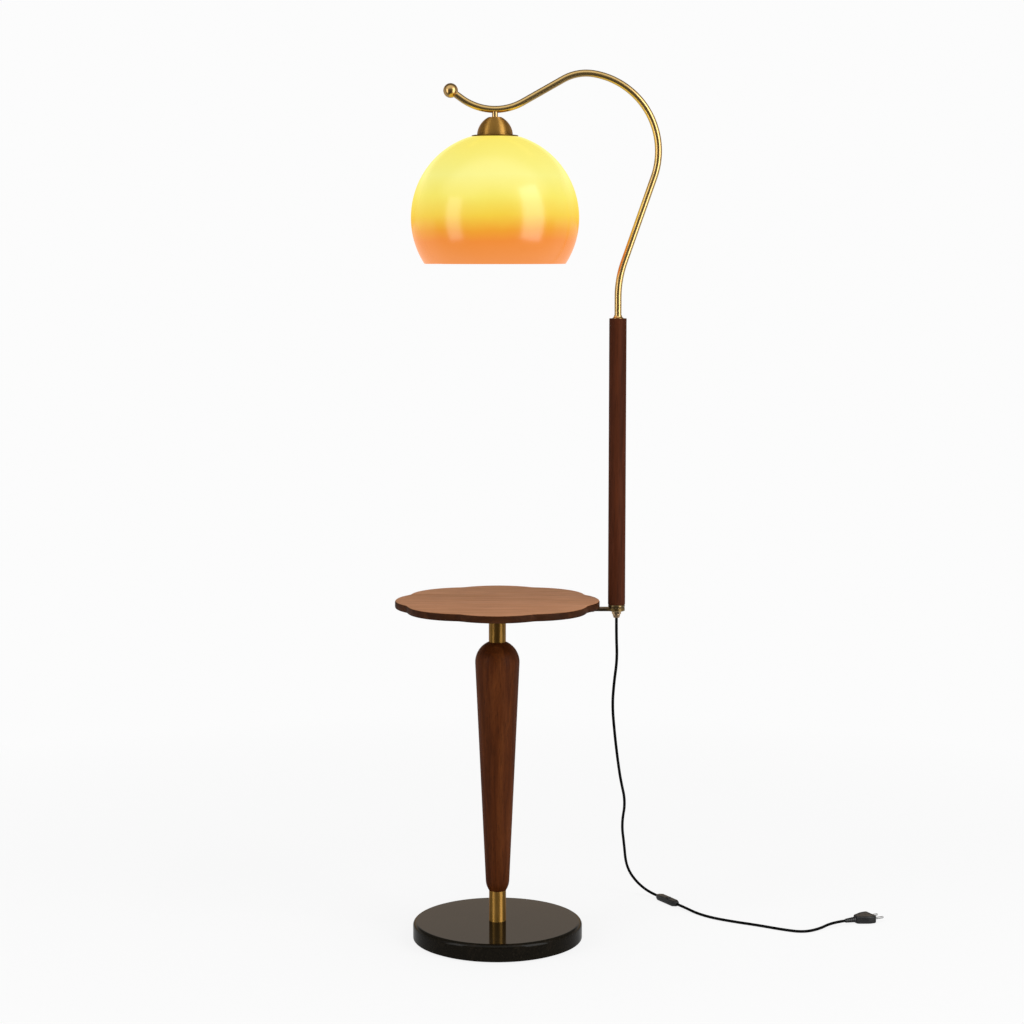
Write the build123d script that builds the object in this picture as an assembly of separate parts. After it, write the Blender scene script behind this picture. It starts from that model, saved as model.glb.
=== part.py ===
from build123d import *
import os
from math import asin, atan2, cos, degrees, hypot, pi, radians, sin, sqrt, tan

# Shelf floor lamp: a stone foot, a turned leg, a scalloped table and a swivelling lamp head.
# Millimetres. The origin is the middle of the foot on the floor, +Z is up, +X points to the post.

# Clearances, all radial or per face
HOLE_CLEARANCE = 0.3
THREAD_CLEARANCE = 0.05
RUNNING_CLEARANCE = 0.05
SEAT_GAP = 0.05
BLIND_HOLE_SPARE = 0.5

# Stone foot and its pad
BASE_DIAMETER = 300.0
BASE_THICKNESS = 30.0
BASE_TOP_ROUND = 7.0
BASE_BOTTOM_ROUND = 1.5
PAD_THICKNESS = 2.0
PAD_INSET = 6.0
NUT_RECESS_DIAMETER = 40.0
NUT_RECESS_DEPTH = 14.0

# Tie rod through the leg, with its nut and washer
ROD_DIAMETER = 10.0
ROD_PROUD = 2.0
ROD_NUT_FLATS = 17.0
ROD_NUT_HEIGHT = 8.0
ROD_WASHER_DIAMETER = 30.0
ROD_WASHER_THICKNESS = 2.0

# Brass collars at both ends of the leg
COLLAR_DIAMETER = 30.0
COLLAR_HEIGHT = 55.0
COLLAR_WALL = 2.0
COLLAR_END_WALL = 6.0

# Turned leg
LEG_LENGTH = 446.0
LEG_CROWN_RADIUS = 39.0
LEG_ANKLE_RADIUS = 20.9
LEG_ANKLE_HEIGHT = 18.0

# Table top and the flange that carries it
TABLE_RADIUS = 179.0
TABLE_THICKNESS = 13.5
TABLE_LOBES = 8
TABLE_NOTCH_DEPTH = 9.5
TABLE_NOTCH_RADIUS = 27.0
TABLE_EDGE_ROUND = 3.0
FLANGE_DIAMETER = 90.0
FLANGE_THICKNESS = 5.5
FLANGE_BOSS_DIAMETER = 20.0
FLANGE_BOSS_HEIGHT = 9.0
FLANGE_SCREW_COUNT = 4
FLANGE_SCREW_CIRCLE = 68.0

# Wood screws under the table
SCREW_DIAMETER = 4.0
SCREW_LENGTH = 14.0
SCREW_TIP_LENGTH = 3.0
SCREW_HEAD_DIAMETER = 8.0
SCREW_HEAD_HEIGHT = 2.6
SCREW_HEAD_ROUND = 1.2

# Bracket from the table to the post, whose axis stands off from the tip of a lobe
POST_STANDOFF = 29.5
BRACKET_REACH = 100.0
BRACKET_WIDTH = 20.0
BRACKET_THICKNESS = 5.0
BRACKET_EYE_DIAMETER = 29.0
BRACKET_EYE_BLEND = 6.0
BRACKET_SCREW_COUNT = 3
BRACKET_SCREW_PITCH = 24.0
SWIVEL_WASHER_DIAMETER = 24.0
SWIVEL_WASHER_THICKNESS = 1.0

# Wooden post, its foot cap and the gland below the eye
POST_DIAMETER = 30.0
POST_LENGTH = 498.5
POST_EDGE_ROUND = 0.8
FOOT_CAP_DIAMETER = 29.5
FOOT_CAP_HEIGHT = 5.0
FOOT_CAP_ROUND = 1.8
FOOT_CAP_SPIGOT_DIAMETER = 20.0
FOOT_CAP_SPIGOT_HEIGHT = 5.0
POST_TUBE_WALL = 1.0
POST_TUBE_GRIP = 25.0
GLAND_NUT_FLATS = 14.0
GLAND_NUT_HEIGHT = 5.0
GRIP_TOP_DIAMETER = 13.5
GRIP_TIP_DIAMETER = 10.5
GRIP_HEIGHT = 6.5
GRIP_THREAD_DEPTH = 3.5
GRIP_LIP = 1.2

# Swan-neck arm: straight runs, bend radii and bend angles from the post to the ball
ARM_DIAMETER = 12.0
ARM_WALL = 1.0
ARM_RISER_RUN = 37.0
ARM_LEAN_RADIUS = 180.0
ARM_LEAN_ANGLE = 19.25
ARM_SLOPE_RUN = 153.0
ARM_SHOULDER_RADIUS = 133.0
ARM_SHOULDER_ANGLE = 99.5
ARM_BROW_RADIUS = 81.0
ARM_BROW_ANGLE = 39.0
ARM_FALL_RUN = 78.5
ARM_DIP_RADIUS = 97.5
ARM_DIP_ANGLE = 65.0
ARM_TAIL_RUN = 18.5
ARM_COLLAR_BASE_DIAMETER = 19.0
ARM_COLLAR_TOP_DIAMETER = 13.4
ARM_COLLAR_HEIGHT = 5.5
ARM_COLLAR_LIP = 0.8
BALL_DIAMETER = 25.0
BALL_SOCKET_DEPTH = 8.0

# Stem and nipple that hang the shade from the lowest point of the arm
STEM_DIAMETER = 10.0
STEM_DROP = 7.0
STEM_GRIP = 5.0
NIPPLE_DIAMETER = 8.0
NIPPLE_WALL = 1.2
NIPPLE_GRIP = 8.0
LOCKNUT_FLATS = 13.0
LOCKNUT_HEIGHT = 4.0

# Shade cup and plate
CUP_DIAMETER = 61.5
CUP_HEIGHT = 32.0
CUP_TOP_DIAMETER = 22.0
CUP_SIDE_DIAMETER = 55.4
CUP_SIDE_HEIGHT = 14.5
CUP_WALL = 1.2
PLATE_DIAMETER = 80.0
PLATE_THICKNESS = 1.5

# Glass shade: a ball with a flat crown and an open rim
SHADE_RADIUS = 144.5
SHADE_FLAT_RADIUS = 44.0
SHADE_DEPTH = 215.8
SHADE_WALL = 4.0
SHADE_HOLE_CLEARANCE = 1.3

# Lampholder and the ring that clamps the shade to it
HOLDER_SKIRT_DIAMETER = 39.4
HOLDER_SKIRT_LENGTH = 38.0
HOLDER_SHOULDER_DIAMETER = 50.0
HOLDER_SHOULDER_THICKNESS = 2.5
HOLDER_BODY_DIAMETER = 36.0
HOLDER_BODY_ROUND = 6.0
HOLDER_NECK_DIAMETER = 18.0
HOLDER_NECK_HEIGHT = 8.0
HOLDER_CHAMBER_DIAMETER = 24.0
HOLDER_ROOF = 3.0
HOLDER_SOCKET_DEPTH = 32.0
INSERT_THICKNESS = 6.0
SLEEVE_WALL = 0.6
SLEEVE_LENGTH = 22.0
CONTACT_DIAMETER = 8.0
CONTACT_HEIGHT = 1.6
RING_DIAMETER = 54.0
RING_HEIGHT = 7.0
RING_FLUTES = 16
RING_FLUTE_RADIUS = 1.5

# Bulb with a 27 mm screw cap
BULB_CAP_DIAMETER = 26.4
BULB_CAP_LENGTH = 25.0
BULB_CAP_CLEARANCE = 0.2
BULB_TIP_DIAMETER = 10.0
BULB_TIP_HEIGHT = 2.0
BULB_CAP_CONE_HEIGHT = 3.0
BULB_LENGTH = 105.0
BULB_DIAMETER = 60.0
BULB_NECK_LENGTH = 5.0
BULB_WALL = 1.0

# Leads
CORD_DIAMETER = 5.0
LEAD_DIAMETER = 3.2
LEAD_TURN_START = 3.6

# Inline switch, lying on the floor
SWITCH_CENTRE = (317.0, 221.0)
SWITCH_HEADING = -60.0
SWITCH_LENGTH = 66.0
SWITCH_WIDTH = 14.0
SWITCH_HEIGHT = 10.5
SWITCH_TAPER_LENGTH = 9.0
SWITCH_END_WIDTH = 8.0
SWITCH_END_HEIGHT = 7.6
SWITCH_CORNER_ROUND = 3.0
SWITCH_WALL = 1.4
SWITCH_CAVITY_LENGTH = 46.0
SWITCH_SCREW_SPACING = 34.0
SWITCH_SCREW_DIAMETER = 2.4
SWITCH_SCREW_HEAD_DIAMETER = 4.4
SWITCH_SCREW_HEAD_HEIGHT = 1.1
SWITCH_SCREW_SINK = 0.3
SWITCH_BOSS_DIAMETER = 6.4
ROCKER_RADIUS = 8.0
ROCKER_WIDTH = 7.2
ROCKER_PIVOT_HEIGHT = 6.2
ROCKER_RISE = 4.7
ROCKER_TIP_RISE = 5.6
ROCKER_UNDERSIDE = 2.0
ROCKER_THROW = 16.0
ROCKER_WINDOW_CLEARANCE = 0.35
ROCKER_PIN_DIAMETER = 2.0
ROCKER_CHEEK_LENGTH = 5.0
ROCKER_CHEEK_TOP = 2.0
CONTACT_STRIP_LENGTH = 9.0
CONTACT_STRIP_WIDTH = 4.0
CONTACT_STRIP_THICKNESS = 0.8
CONTACT_STRIP_START = 4.0
CONTACT_STUD_DIAMETER = 2.4
CONTACT_STUD_HEIGHT = 0.6

# Flat two-pin plug at the end of the cord
PLUG_END = (629.0, 79.9)
PLUG_HEADING = 25.0
PLUG_LENGTH = 36.0
PLUG_WIDTH = 35.0
PLUG_THICKNESS = 13.7
PLUG_SQUARE_LENGTH = 14.0
PLUG_BACK_WIDTH = 15.0
PLUG_ROUND = 3.0
PLUG_CORNER_ROUND = 4.0
BOOT_LENGTH = 22.0
BOOT_ROOT_DIAMETER = 10.5
BOOT_TIP_DIAMETER = 7.0
PIN_DIAMETER = 4.0
PIN_LENGTH = 19.0
PIN_ROOT = 10.0
PIN_SPACING = 19.0
PIN_TIP_ROUND = 1.6

# Cord route between the gland and the switch, and between the switch and the plug
CORD_FALL = [
    (208.5, 0.0, 543.0),
    (210.5, 6.0, 501.0),
    (205.5, 18.0, 456.0),
    (203.5, 34.0, 412.0),
    (209.0, 58.0, 357.0),
    (215.5, 86.0, 307.0),
    (222.5, 112.0, 261.0),
    (233.5, 143.0, 212.0),
    (228.5, 186.0, 160.0),
    (235.5, 228.0, 110.0),
    (240.0, 256.0, 69.0),
    (249.0, 268.5, 44.0),
    (263.0, 274.5, 24.5),
    (278.0, 273.2, 11.5),
]
CORD_FLOOR = [
    (364.5, 145.0, 2.5),
    (390.0, 115.0, 2.5),
    (429.0, 89.0, 2.5),
    (471.5, 66.5, 2.5),
    (511.0, 40.5, 2.5),
    (546.0, 24.5, 2.5),
    (577.0, 43.0, 2.5),
]
CORD_RUN_INTO_SWITCH = 17.0
CORD_RUN_OUT_OF_SWITCH = 28.0
CORD_RUN_INTO_PLUG = 27.6
CORD_ARC_SHARE = 0.45

# Heights that follow from the sizes above
PAD_TOP = PAD_THICKNESS
RECESS_TOP = PAD_TOP + NUT_RECESS_DEPTH
ROD_NUT_TOP = RECESS_TOP - ROD_WASHER_THICKNESS
ROD_BOTTOM = ROD_NUT_TOP - ROD_NUT_HEIGHT - ROD_PROUD
BASE_TOP = PAD_TOP + BASE_THICKNESS
LEG_BOTTOM = BASE_TOP + COLLAR_HEIGHT
LEG_TOP = LEG_BOTTOM + LEG_LENGTH
FLANGE_BOTTOM = LEG_TOP + COLLAR_HEIGHT
TABLE_BOTTOM = FLANGE_BOTTOM + FLANGE_THICKNESS
ROD_TOP = TABLE_BOTTOM + FLANGE_BOSS_HEIGHT
EYE_BOTTOM = TABLE_BOTTOM - BRACKET_THICKNESS
FOOT_CAP_BOTTOM = TABLE_BOTTOM + SWIVEL_WASHER_THICKNESS
POST_BOTTOM = FOOT_CAP_BOTTOM + FOOT_CAP_HEIGHT
POST_TOP = POST_BOTTOM + POST_LENGTH
GLAND_NUT_TOP = EYE_BOTTOM - SWIVEL_WASHER_THICKNESS
GRIP_TOP = GLAND_NUT_TOP - GLAND_NUT_HEIGHT
GRIP_BOTTOM = GRIP_TOP - GRIP_HEIGHT

# Radii and offsets that follow from the sizes above
POST_OFFSET = TABLE_RADIUS + POST_STANDOFF
ROD_HOLE_RADIUS = ROD_DIAMETER / 2 + HOLE_CLEARANCE
ROD_THREAD_RADIUS = ROD_DIAMETER / 2 + THREAD_CLEARANCE
COLLAR_RADIUS = COLLAR_DIAMETER / 2
ARM_RADIUS = ARM_DIAMETER / 2
ARM_BORE_RADIUS = ARM_RADIUS - ARM_WALL
POST_TUBE_RADIUS = ARM_BORE_RADIUS - THREAD_CLEARANCE
POST_TUBE_HOLE_RADIUS = POST_TUBE_RADIUS + THREAD_CLEARANCE
NIPPLE_RADIUS = NIPPLE_DIAMETER / 2
NIPPLE_HOLE_RADIUS = NIPPLE_RADIUS + THREAD_CLEARANCE
NIPPLE_BORE_RADIUS = NIPPLE_RADIUS - NIPPLE_WALL
SKIRT_RADIUS = HOLDER_SKIRT_DIAMETER / 2
BULB_CAP_RADIUS = BULB_CAP_DIAMETER / 2
SLEEVE_BORE_RADIUS = BULB_CAP_RADIUS + BULB_CAP_CLEARANCE
SLEEVE_RADIUS = SLEEVE_BORE_RADIUS + SLEEVE_WALL
SOCKET_RADIUS = SLEEVE_RADIUS + THREAD_CLEARANCE
LEAD_HOLE_RADIUS = LEAD_DIAMETER / 2 + HOLE_CLEARANCE
SCREW_RADIUS = SCREW_DIAMETER / 2


# Helpers

def sleeve(outer_radius, inner_radius, bottom, height):
    """A plain ring or tube on the Z axis."""
    return Pos(0, 0, bottom) * extrude(Circle(outer_radius) - Circle(inner_radius), height)


def turned(edges):
    """A turned piece: a closed outline of radius and height, spun round the Z axis."""
    return revolve(Plane.XZ * make_face(edges), Axis.Z)


def turned_corners(*corners):
    """A turned piece whose outline has straight sides only."""
    return turned(Polyline(*corners, close=True))


def peg(radius, bottom, top):
    """A solid round bar on the Z axis."""
    bar = Cylinder(radius, top - bottom, align=(Align.CENTER, Align.CENTER, Align.MIN))
    return Pos(0, 0, bottom) * bar


def hex_nut(flats, height, hole_radius):
    """A hexagon nut on the Z axis, standing on its origin, with its corners turned off."""
    corner_radius = flats / sqrt(3)
    corner_cut = corner_radius - flats / 2
    blank = fillet(peg(corner_radius, 0, height).edges(), corner_cut / 2)
    hexagon = extrude(RegularPolygon(flats / 2, 6, major_radius=False), height)
    return (hexagon & blank) - peg(hole_radius, 0, height)


def touch_point(point, centre_height, radius):
    """Where a straight side from point touches a ball on the axis, on the outer side."""
    across, along = -point[0], centre_height - point[1]
    distance = hypot(across, along)
    spread = asin(radius / distance)
    bearing = atan2(along, across) + (spread if along < 0 else -spread)
    length = sqrt(distance ** 2 - radius ** 2)
    return point[0] + length * cos(bearing), point[1] + length * sin(bearing)


def round_arc(centre, radius, start, end):
    """The shorter arc about centre from the direction of start to the direction of end."""
    first = degrees(atan2(start[1] - centre[1], start[0] - centre[0]))
    last = degrees(atan2(end[1] - centre[1], end[0] - centre[0]))
    return CenterArc(centre, radius, first, last - first)


def wood_screw():
    """A pan-head wood screw pointing up, with the underside of its head at the origin."""
    head_radius = SCREW_HEAD_DIAMETER / 2
    shank_top = SCREW_LENGTH - SCREW_TIP_LENGTH
    head = fillet(peg(head_radius, -SCREW_HEAD_HEIGHT, 0).edges().group_by(Axis.Z)[0], SCREW_HEAD_ROUND)
    tip = turned_corners((0, shank_top), (SCREW_RADIUS, shank_top), (0, SCREW_LENGTH))
    return head + peg(SCREW_RADIUS, 0, shank_top) + tip


def cord_tube(name, points):
    """A round cord along straight runs and the largest tangent arcs that they allow."""
    route = [Vector(point) for point in points]
    runs = [end - start for start, end in zip(route, route[1:])]
    radii = []
    for before, after in zip(runs, runs[1:]):
        half_turn = radians(before.get_angle(after)) / 2
        radii.append(CORD_ARC_SHARE * min(before.length, after.length) / tan(half_turn))
    path = FilletPolyline(*route, radius=radii)
    tube = sweep(Plane(origin=path @ 0, z_dir=path % 0) * Circle(CORD_DIAMETER / 2), path=path)
    section = pi * CORD_DIAMETER ** 2 / 4
    print(f"{name}: length {path.length:.1f}, radii", [round(radius) for radius in radii])
    print(f"{name}: volume over section times length {tube.volume / (section * path.length):.5f}")
    return tube


# Foot

def base_pad():
    """The felt pad that the lamp stands on."""
    return peg(BASE_DIAMETER / 2 - PAD_INSET, 0, PAD_TOP)


def base_disc():
    """The polished stone disc, recessed below for the rod's nut."""
    disc = peg(BASE_DIAMETER / 2, PAD_TOP, BASE_TOP)
    disc = fillet(disc.edges().group_by(Axis.Z)[-1], BASE_TOP_ROUND)
    disc = fillet(disc.edges().group_by(Axis.Z)[0], BASE_BOTTOM_ROUND)
    disc -= peg(NUT_RECESS_DIAMETER / 2, PAD_TOP, RECESS_TOP)
    return disc - peg(ROD_HOLE_RADIUS, PAD_TOP, BASE_TOP)


def base_nut():
    """The nut on the lower end of the rod."""
    nut = hex_nut(ROD_NUT_FLATS, ROD_NUT_HEIGHT, ROD_THREAD_RADIUS)
    return Pos(0, 0, ROD_NUT_TOP - ROD_NUT_HEIGHT) * nut


def base_washer():
    """The washer between the nut and the stone."""
    return sleeve(ROD_WASHER_DIAMETER / 2, ROD_HOLE_RADIUS, ROD_NUT_TOP, ROD_WASHER_THICKNESS)


def tie_rod():
    """The rod that pulls foot, collars, leg and flange together."""
    return peg(ROD_DIAMETER / 2, ROD_BOTTOM, ROD_TOP)


# Leg

def collar(bottom):
    """A brass cup, open below, whose closed upper end is centred on the rod."""
    top = bottom + COLLAR_HEIGHT
    bore = COLLAR_RADIUS - COLLAR_WALL
    return turned_corners(
        (bore, bottom),
        (COLLAR_RADIUS, bottom),
        (COLLAR_RADIUS, top),
        (ROD_HOLE_RADIUS, top),
        (ROD_HOLE_RADIUS, top - COLLAR_END_WALL),
        (bore, top - COLLAR_END_WALL),
    )


def leg():
    """The turned leg: a rounded ankle, a straight taper and a half-ball crown."""
    ankle = (LEG_ANKLE_RADIUS, LEG_BOTTOM + LEG_ANKLE_HEIGHT)
    crown_centre = (0, LEG_TOP - sqrt(LEG_CROWN_RADIUS ** 2 - COLLAR_RADIUS ** 2))
    side_top = touch_point(ankle, crown_centre[1], LEG_CROWN_RADIUS)
    foot = (COLLAR_RADIUS, LEG_BOTTOM)
    head = (COLLAR_RADIUS, LEG_TOP)
    down_the_side = (ankle[0] - side_top[0], ankle[1] - side_top[1])
    return turned([
        Line((ROD_HOLE_RADIUS, LEG_BOTTOM), foot),
        TangentArc(ankle, foot, tangent=down_the_side),
        Line(ankle, side_top),
        round_arc(crown_centre, LEG_CROWN_RADIUS, side_top, head),
        Line(head, (ROD_HOLE_RADIUS, LEG_TOP)),
        Line((ROD_HOLE_RADIUS, LEG_TOP), (ROD_HOLE_RADIUS, LEG_BOTTOM)),
    ])


# Table

def scalloped_outline():
    """The outline of the table: round lobes joined by hollow arcs that meet them smoothly."""
    half_pitch = pi / TABLE_LOBES
    notch_bottom = TABLE_RADIUS - TABLE_NOTCH_DEPTH
    hollow_centre = notch_bottom + TABLE_NOTCH_RADIUS
    projected = hollow_centre * cos(half_pitch)
    lobe_radius = (
        TABLE_RADIUS ** 2 + hollow_centre ** 2 - 2 * TABLE_RADIUS * projected - TABLE_NOTCH_RADIUS ** 2
    ) / (2 * (TABLE_NOTCH_RADIUS + TABLE_RADIUS - projected))
    lobe = Vector(TABLE_RADIUS - lobe_radius, 0)
    hollow = Vector(projected, hollow_centre * sin(half_pitch))
    join = lobe + (hollow - lobe) * (lobe_radius / (lobe_radius + TABLE_NOTCH_RADIUS))
    mirror_join = Vector(join.X, -join.Y)
    notch = Vector(notch_bottom * cos(half_pitch), notch_bottom * sin(half_pitch))
    pitch = degrees(2 * half_pitch)
    edges = []
    for index in range(TABLE_LOBES):
        turn = Rot(0, 0, index * pitch)
        edges.append(turn * ThreePointArc(mirror_join, (TABLE_RADIUS, 0), join))
        edges.append(turn * ThreePointArc(join, notch, mirror_join.rotate(Axis.Z, pitch)))
    return make_face(edges)


def flange_screw_places():
    """Where the flange is screwed to the table."""
    return PolarLocations(FLANGE_SCREW_CIRCLE / 2, FLANGE_SCREW_COUNT, 180 / FLANGE_SCREW_COUNT)


def bracket_screw_places():
    """Where the bracket is screwed to the table, from its root outwards."""
    root = POST_OFFSET - BRACKET_REACH + BRACKET_WIDTH / 2
    return [Pos(root + index * BRACKET_SCREW_PITCH, 0, 0) for index in range(BRACKET_SCREW_COUNT)]


def table_top():
    """The scalloped wooden top, recessed for the flange's boss and drilled for its screws."""
    top = Pos(0, 0, TABLE_BOTTOM) * extrude(scalloped_outline(), TABLE_THICKNESS)
    top = fillet(top.edges().group_by(Axis.Z)[-1], TABLE_EDGE_ROUND)
    top = fillet(top.edges().group_by(Axis.Z)[0], TABLE_EDGE_ROUND)
    boss_radius = FLANGE_BOSS_DIAMETER / 2 + HOLE_CLEARANCE
    top -= peg(boss_radius, TABLE_BOTTOM, ROD_TOP + BLIND_HOLE_SPARE)
    pilot_radius = SCREW_RADIUS + THREAD_CLEARANCE
    tip_height = TABLE_BOTTOM + SCREW_LENGTH + BLIND_HOLE_SPARE
    for place in flange_screw_places():
        top -= place * peg(pilot_radius, TABLE_BOTTOM, tip_height - FLANGE_THICKNESS)
    for place in bracket_screw_places():
        top -= place * peg(pilot_radius, TABLE_BOTTOM, tip_height - BRACKET_THICKNESS)
    return top


def table_flange():
    """The steel flange that screws on the rod and carries the table."""
    flange = peg(FLANGE_DIAMETER / 2, FLANGE_BOTTOM, TABLE_BOTTOM)
    flange += peg(FLANGE_BOSS_DIAMETER / 2, TABLE_BOTTOM, ROD_TOP)
    flange -= peg(ROD_THREAD_RADIUS, FLANGE_BOTTOM, ROD_TOP)
    for place in flange_screw_places():
        flange -= place * peg(SCREW_RADIUS + HOLE_CLEARANCE, FLANGE_BOTTOM, TABLE_BOTTOM)
    return flange


def flange_screws():
    """The screws through the flange."""
    return [place * Pos(0, 0, FLANGE_BOTTOM) * wood_screw() for place in flange_screw_places()]


# Bracket and swivel

def at_post(piece):
    """Moves a piece from the Z axis to the axis of the post."""
    return Pos(POST_OFFSET, 0, 0) * piece


def post_bracket():
    """The flat bar under the table, with the eye in which the post turns."""
    root = POST_OFFSET - BRACKET_REACH + BRACKET_WIDTH / 2
    bar_length = POST_OFFSET - root
    bar = Pos(root + bar_length / 2, 0) * Rectangle(bar_length, BRACKET_WIDTH)
    eye = Pos(POST_OFFSET, 0) * Circle(BRACKET_EYE_DIAMETER / 2)
    outline = bar + Pos(root, 0) * Circle(BRACKET_WIDTH / 2) + eye
    eye_corners = outline.vertices().sort_by(Axis.X)[-2:]
    outline = fillet(eye_corners, BRACKET_EYE_BLEND)
    bracket = Pos(0, 0, EYE_BOTTOM) * extrude(outline, BRACKET_THICKNESS)
    bracket -= at_post(peg(POST_TUBE_RADIUS + RUNNING_CLEARANCE, EYE_BOTTOM, TABLE_BOTTOM))
    for place in bracket_screw_places():
        bracket -= place * peg(SCREW_RADIUS + HOLE_CLEARANCE, EYE_BOTTOM, TABLE_BOTTOM)
    return bracket


def bracket_screws():
    """The screws through the bracket."""
    return [place * Pos(0, 0, EYE_BOTTOM) * wood_screw() for place in bracket_screw_places()]


def swivel_washers():
    """The slippery washers above and below the eye."""
    radius = SWIVEL_WASHER_DIAMETER / 2
    washer = sleeve(radius, POST_TUBE_HOLE_RADIUS, 0, SWIVEL_WASHER_THICKNESS)
    return [at_post(Pos(0, 0, height) * washer) for height in (TABLE_BOTTOM, GLAND_NUT_TOP)]


# Post

def post_foot_cap():
    """The brass cap under the post, with a spigot that centres the wood."""
    cap = peg(FOOT_CAP_DIAMETER / 2, FOOT_CAP_BOTTOM, POST_BOTTOM)
    cap = fillet(cap.edges(), FOOT_CAP_ROUND)
    cap += peg(FOOT_CAP_SPIGOT_DIAMETER / 2, POST_BOTTOM, POST_BOTTOM + FOOT_CAP_SPIGOT_HEIGHT)
    return at_post(cap - peg(POST_TUBE_HOLE_RADIUS, FOOT_CAP_BOTTOM, POST_TOP))


def wood_post():
    """The round wooden post, bored for the tube."""
    post = fillet(peg(POST_DIAMETER / 2, POST_BOTTOM, POST_TOP).edges(), POST_EDGE_ROUND)
    post -= peg(POST_TUBE_RADIUS + HOLE_CLEARANCE, POST_BOTTOM, POST_TOP)
    spigot_top = POST_BOTTOM + FOOT_CAP_SPIGOT_HEIGHT + BLIND_HOLE_SPARE
    return at_post(post - peg(FOOT_CAP_SPIGOT_DIAMETER / 2 + HOLE_CLEARANCE, POST_BOTTOM, spigot_top))


def post_tube():
    """The threaded tube that clamps gland, cap, post and arm together."""
    bottom = GRIP_TOP - GRIP_THREAD_DEPTH
    height = POST_TOP + POST_TUBE_GRIP - bottom
    return at_post(sleeve(POST_TUBE_RADIUS, POST_TUBE_RADIUS - POST_TUBE_WALL, bottom, height))


def gland_nut():
    """The nut under the eye that sets how stiffly the head swivels."""
    return at_post(Pos(0, 0, GRIP_TOP) * hex_nut(GLAND_NUT_FLATS, GLAND_NUT_HEIGHT, POST_TUBE_HOLE_RADIUS))


def cord_grip():
    """The tapered grip that the cord leaves by."""
    thread_bottom = GRIP_TOP - GRIP_THREAD_DEPTH
    return at_post(turned_corners(
        (LEAD_HOLE_RADIUS, GRIP_BOTTOM),
        (GRIP_TIP_DIAMETER / 2, GRIP_BOTTOM),
        (GRIP_TOP_DIAMETER / 2, GRIP_TOP - GRIP_LIP),
        (GRIP_TOP_DIAMETER / 2, GRIP_TOP),
        (POST_TUBE_HOLE_RADIUS, GRIP_TOP),
        (POST_TUBE_HOLE_RADIUS, thread_bottom),
        (LEAD_HOLE_RADIUS, thread_bottom),
    ))


# Arm

def arm_runs(start_height, dip_angle):
    """The arm's centre line as runs and bends in the plane of the lamp, up to dip_angle round the dip."""
    riser = Line((POST_OFFSET, start_height), (POST_OFFSET, POST_TOP + ARM_RISER_RUN))
    lean = JernArc(riser @ 1, riser % 1, ARM_LEAN_RADIUS, -ARM_LEAN_ANGLE)
    slope = PolarLine(lean @ 1, ARM_SLOPE_RUN, direction=lean % 1)
    shoulder = JernArc(slope @ 1, slope % 1, ARM_SHOULDER_RADIUS, ARM_SHOULDER_ANGLE)
    brow = JernArc(shoulder @ 1, shoulder % 1, ARM_BROW_RADIUS, ARM_BROW_ANGLE)
    fall = PolarLine(brow @ 1, ARM_FALL_RUN, direction=brow % 1)
    dip = JernArc(fall @ 1, fall % 1, ARM_DIP_RADIUS, -dip_angle)
    return [riser, lean, slope, shoulder, brow, fall, dip]


def in_lamp_plane(runs):
    """Stands a flat path up in the plane of post and shade."""
    return Plane.XZ * Wire([run.edge() for run in runs])


def stood_up(flat):
    """Stands a point or direction of a flat path up in the plane of post and shade."""
    return Vector(flat.X, 0, flat.Y)


def swept_bar(path, radius):
    """A solid round bar along a path."""
    return sweep(Plane(origin=path @ 0, z_dir=path % 0) * Circle(radius), path=path)


def swept_tube(path, radius, bore_radius):
    """A round tube along a path."""
    section = Circle(radius) - Circle(bore_radius)
    return sweep(Plane(origin=path @ 0, z_dir=path % 0) * section, path=path)


ARM_RUNS = arm_runs(POST_TOP, ARM_DIP_ANGLE)
ARM_TAIL = PolarLine(ARM_RUNS[-1] @ 1, ARM_TAIL_RUN, direction=ARM_RUNS[-1] % 1)
DIP_CENTRE = ARM_RUNS[-1].edge().arc_center
FALL_ANGLE = ARM_SHOULDER_ANGLE + ARM_BROW_ANGLE - ARM_LEAN_ANGLE - 90
SHADE_X = DIP_CENTRE.X
DIP_HEIGHT = DIP_CENTRE.Y - ARM_DIP_RADIUS

# Heights of the pieces that hang from the dip of the arm
CUP_TOP = DIP_HEIGHT - ARM_RADIUS - STEM_DROP
PLATE_TOP = CUP_TOP - CUP_HEIGHT
SHADE_TOP = PLATE_TOP - PLATE_THICKNESS
LOCKNUT_BOTTOM = CUP_TOP - CUP_WALL - LOCKNUT_HEIGHT
NIPPLE_BOTTOM = LOCKNUT_BOTTOM - NIPPLE_GRIP
SKIRT_BOTTOM = PLATE_TOP - HOLDER_SKIRT_LENGTH
SOCKET_TOP = SKIRT_BOTTOM + HOLDER_SOCKET_DEPTH
INSERT_BOTTOM = SOCKET_TOP - INSERT_THICKNESS
BULB_TOP = INSERT_BOTTOM - CONTACT_HEIGHT
BULB_CAP_BOTTOM = BULB_TOP - BULB_CAP_LENGTH


def at_shade(piece):
    """Moves a piece from the Z axis to the axis of the shade."""
    return Pos(SHADE_X, 0, 0) * piece


def arm_collar():
    """The flared brass collar where the arm leaves the post."""
    base_radius = ARM_COLLAR_BASE_DIAMETER / 2
    top_radius = ARM_COLLAR_TOP_DIAMETER / 2
    bore = ARM_RADIUS + THREAD_CLEARANCE
    lip = (base_radius, POST_TOP + ARM_COLLAR_LIP)
    crest = (top_radius, POST_TOP + ARM_COLLAR_HEIGHT)
    return at_post(turned([
        Line((bore, POST_TOP), (base_radius, POST_TOP)),
        Line((base_radius, POST_TOP), lip),
        TangentArc(crest, lip, tangent=(0, -1)),
        Line(crest, (bore, crest[1])),
        Line((bore, crest[1]), (bore, POST_TOP)),
    ]))


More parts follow.
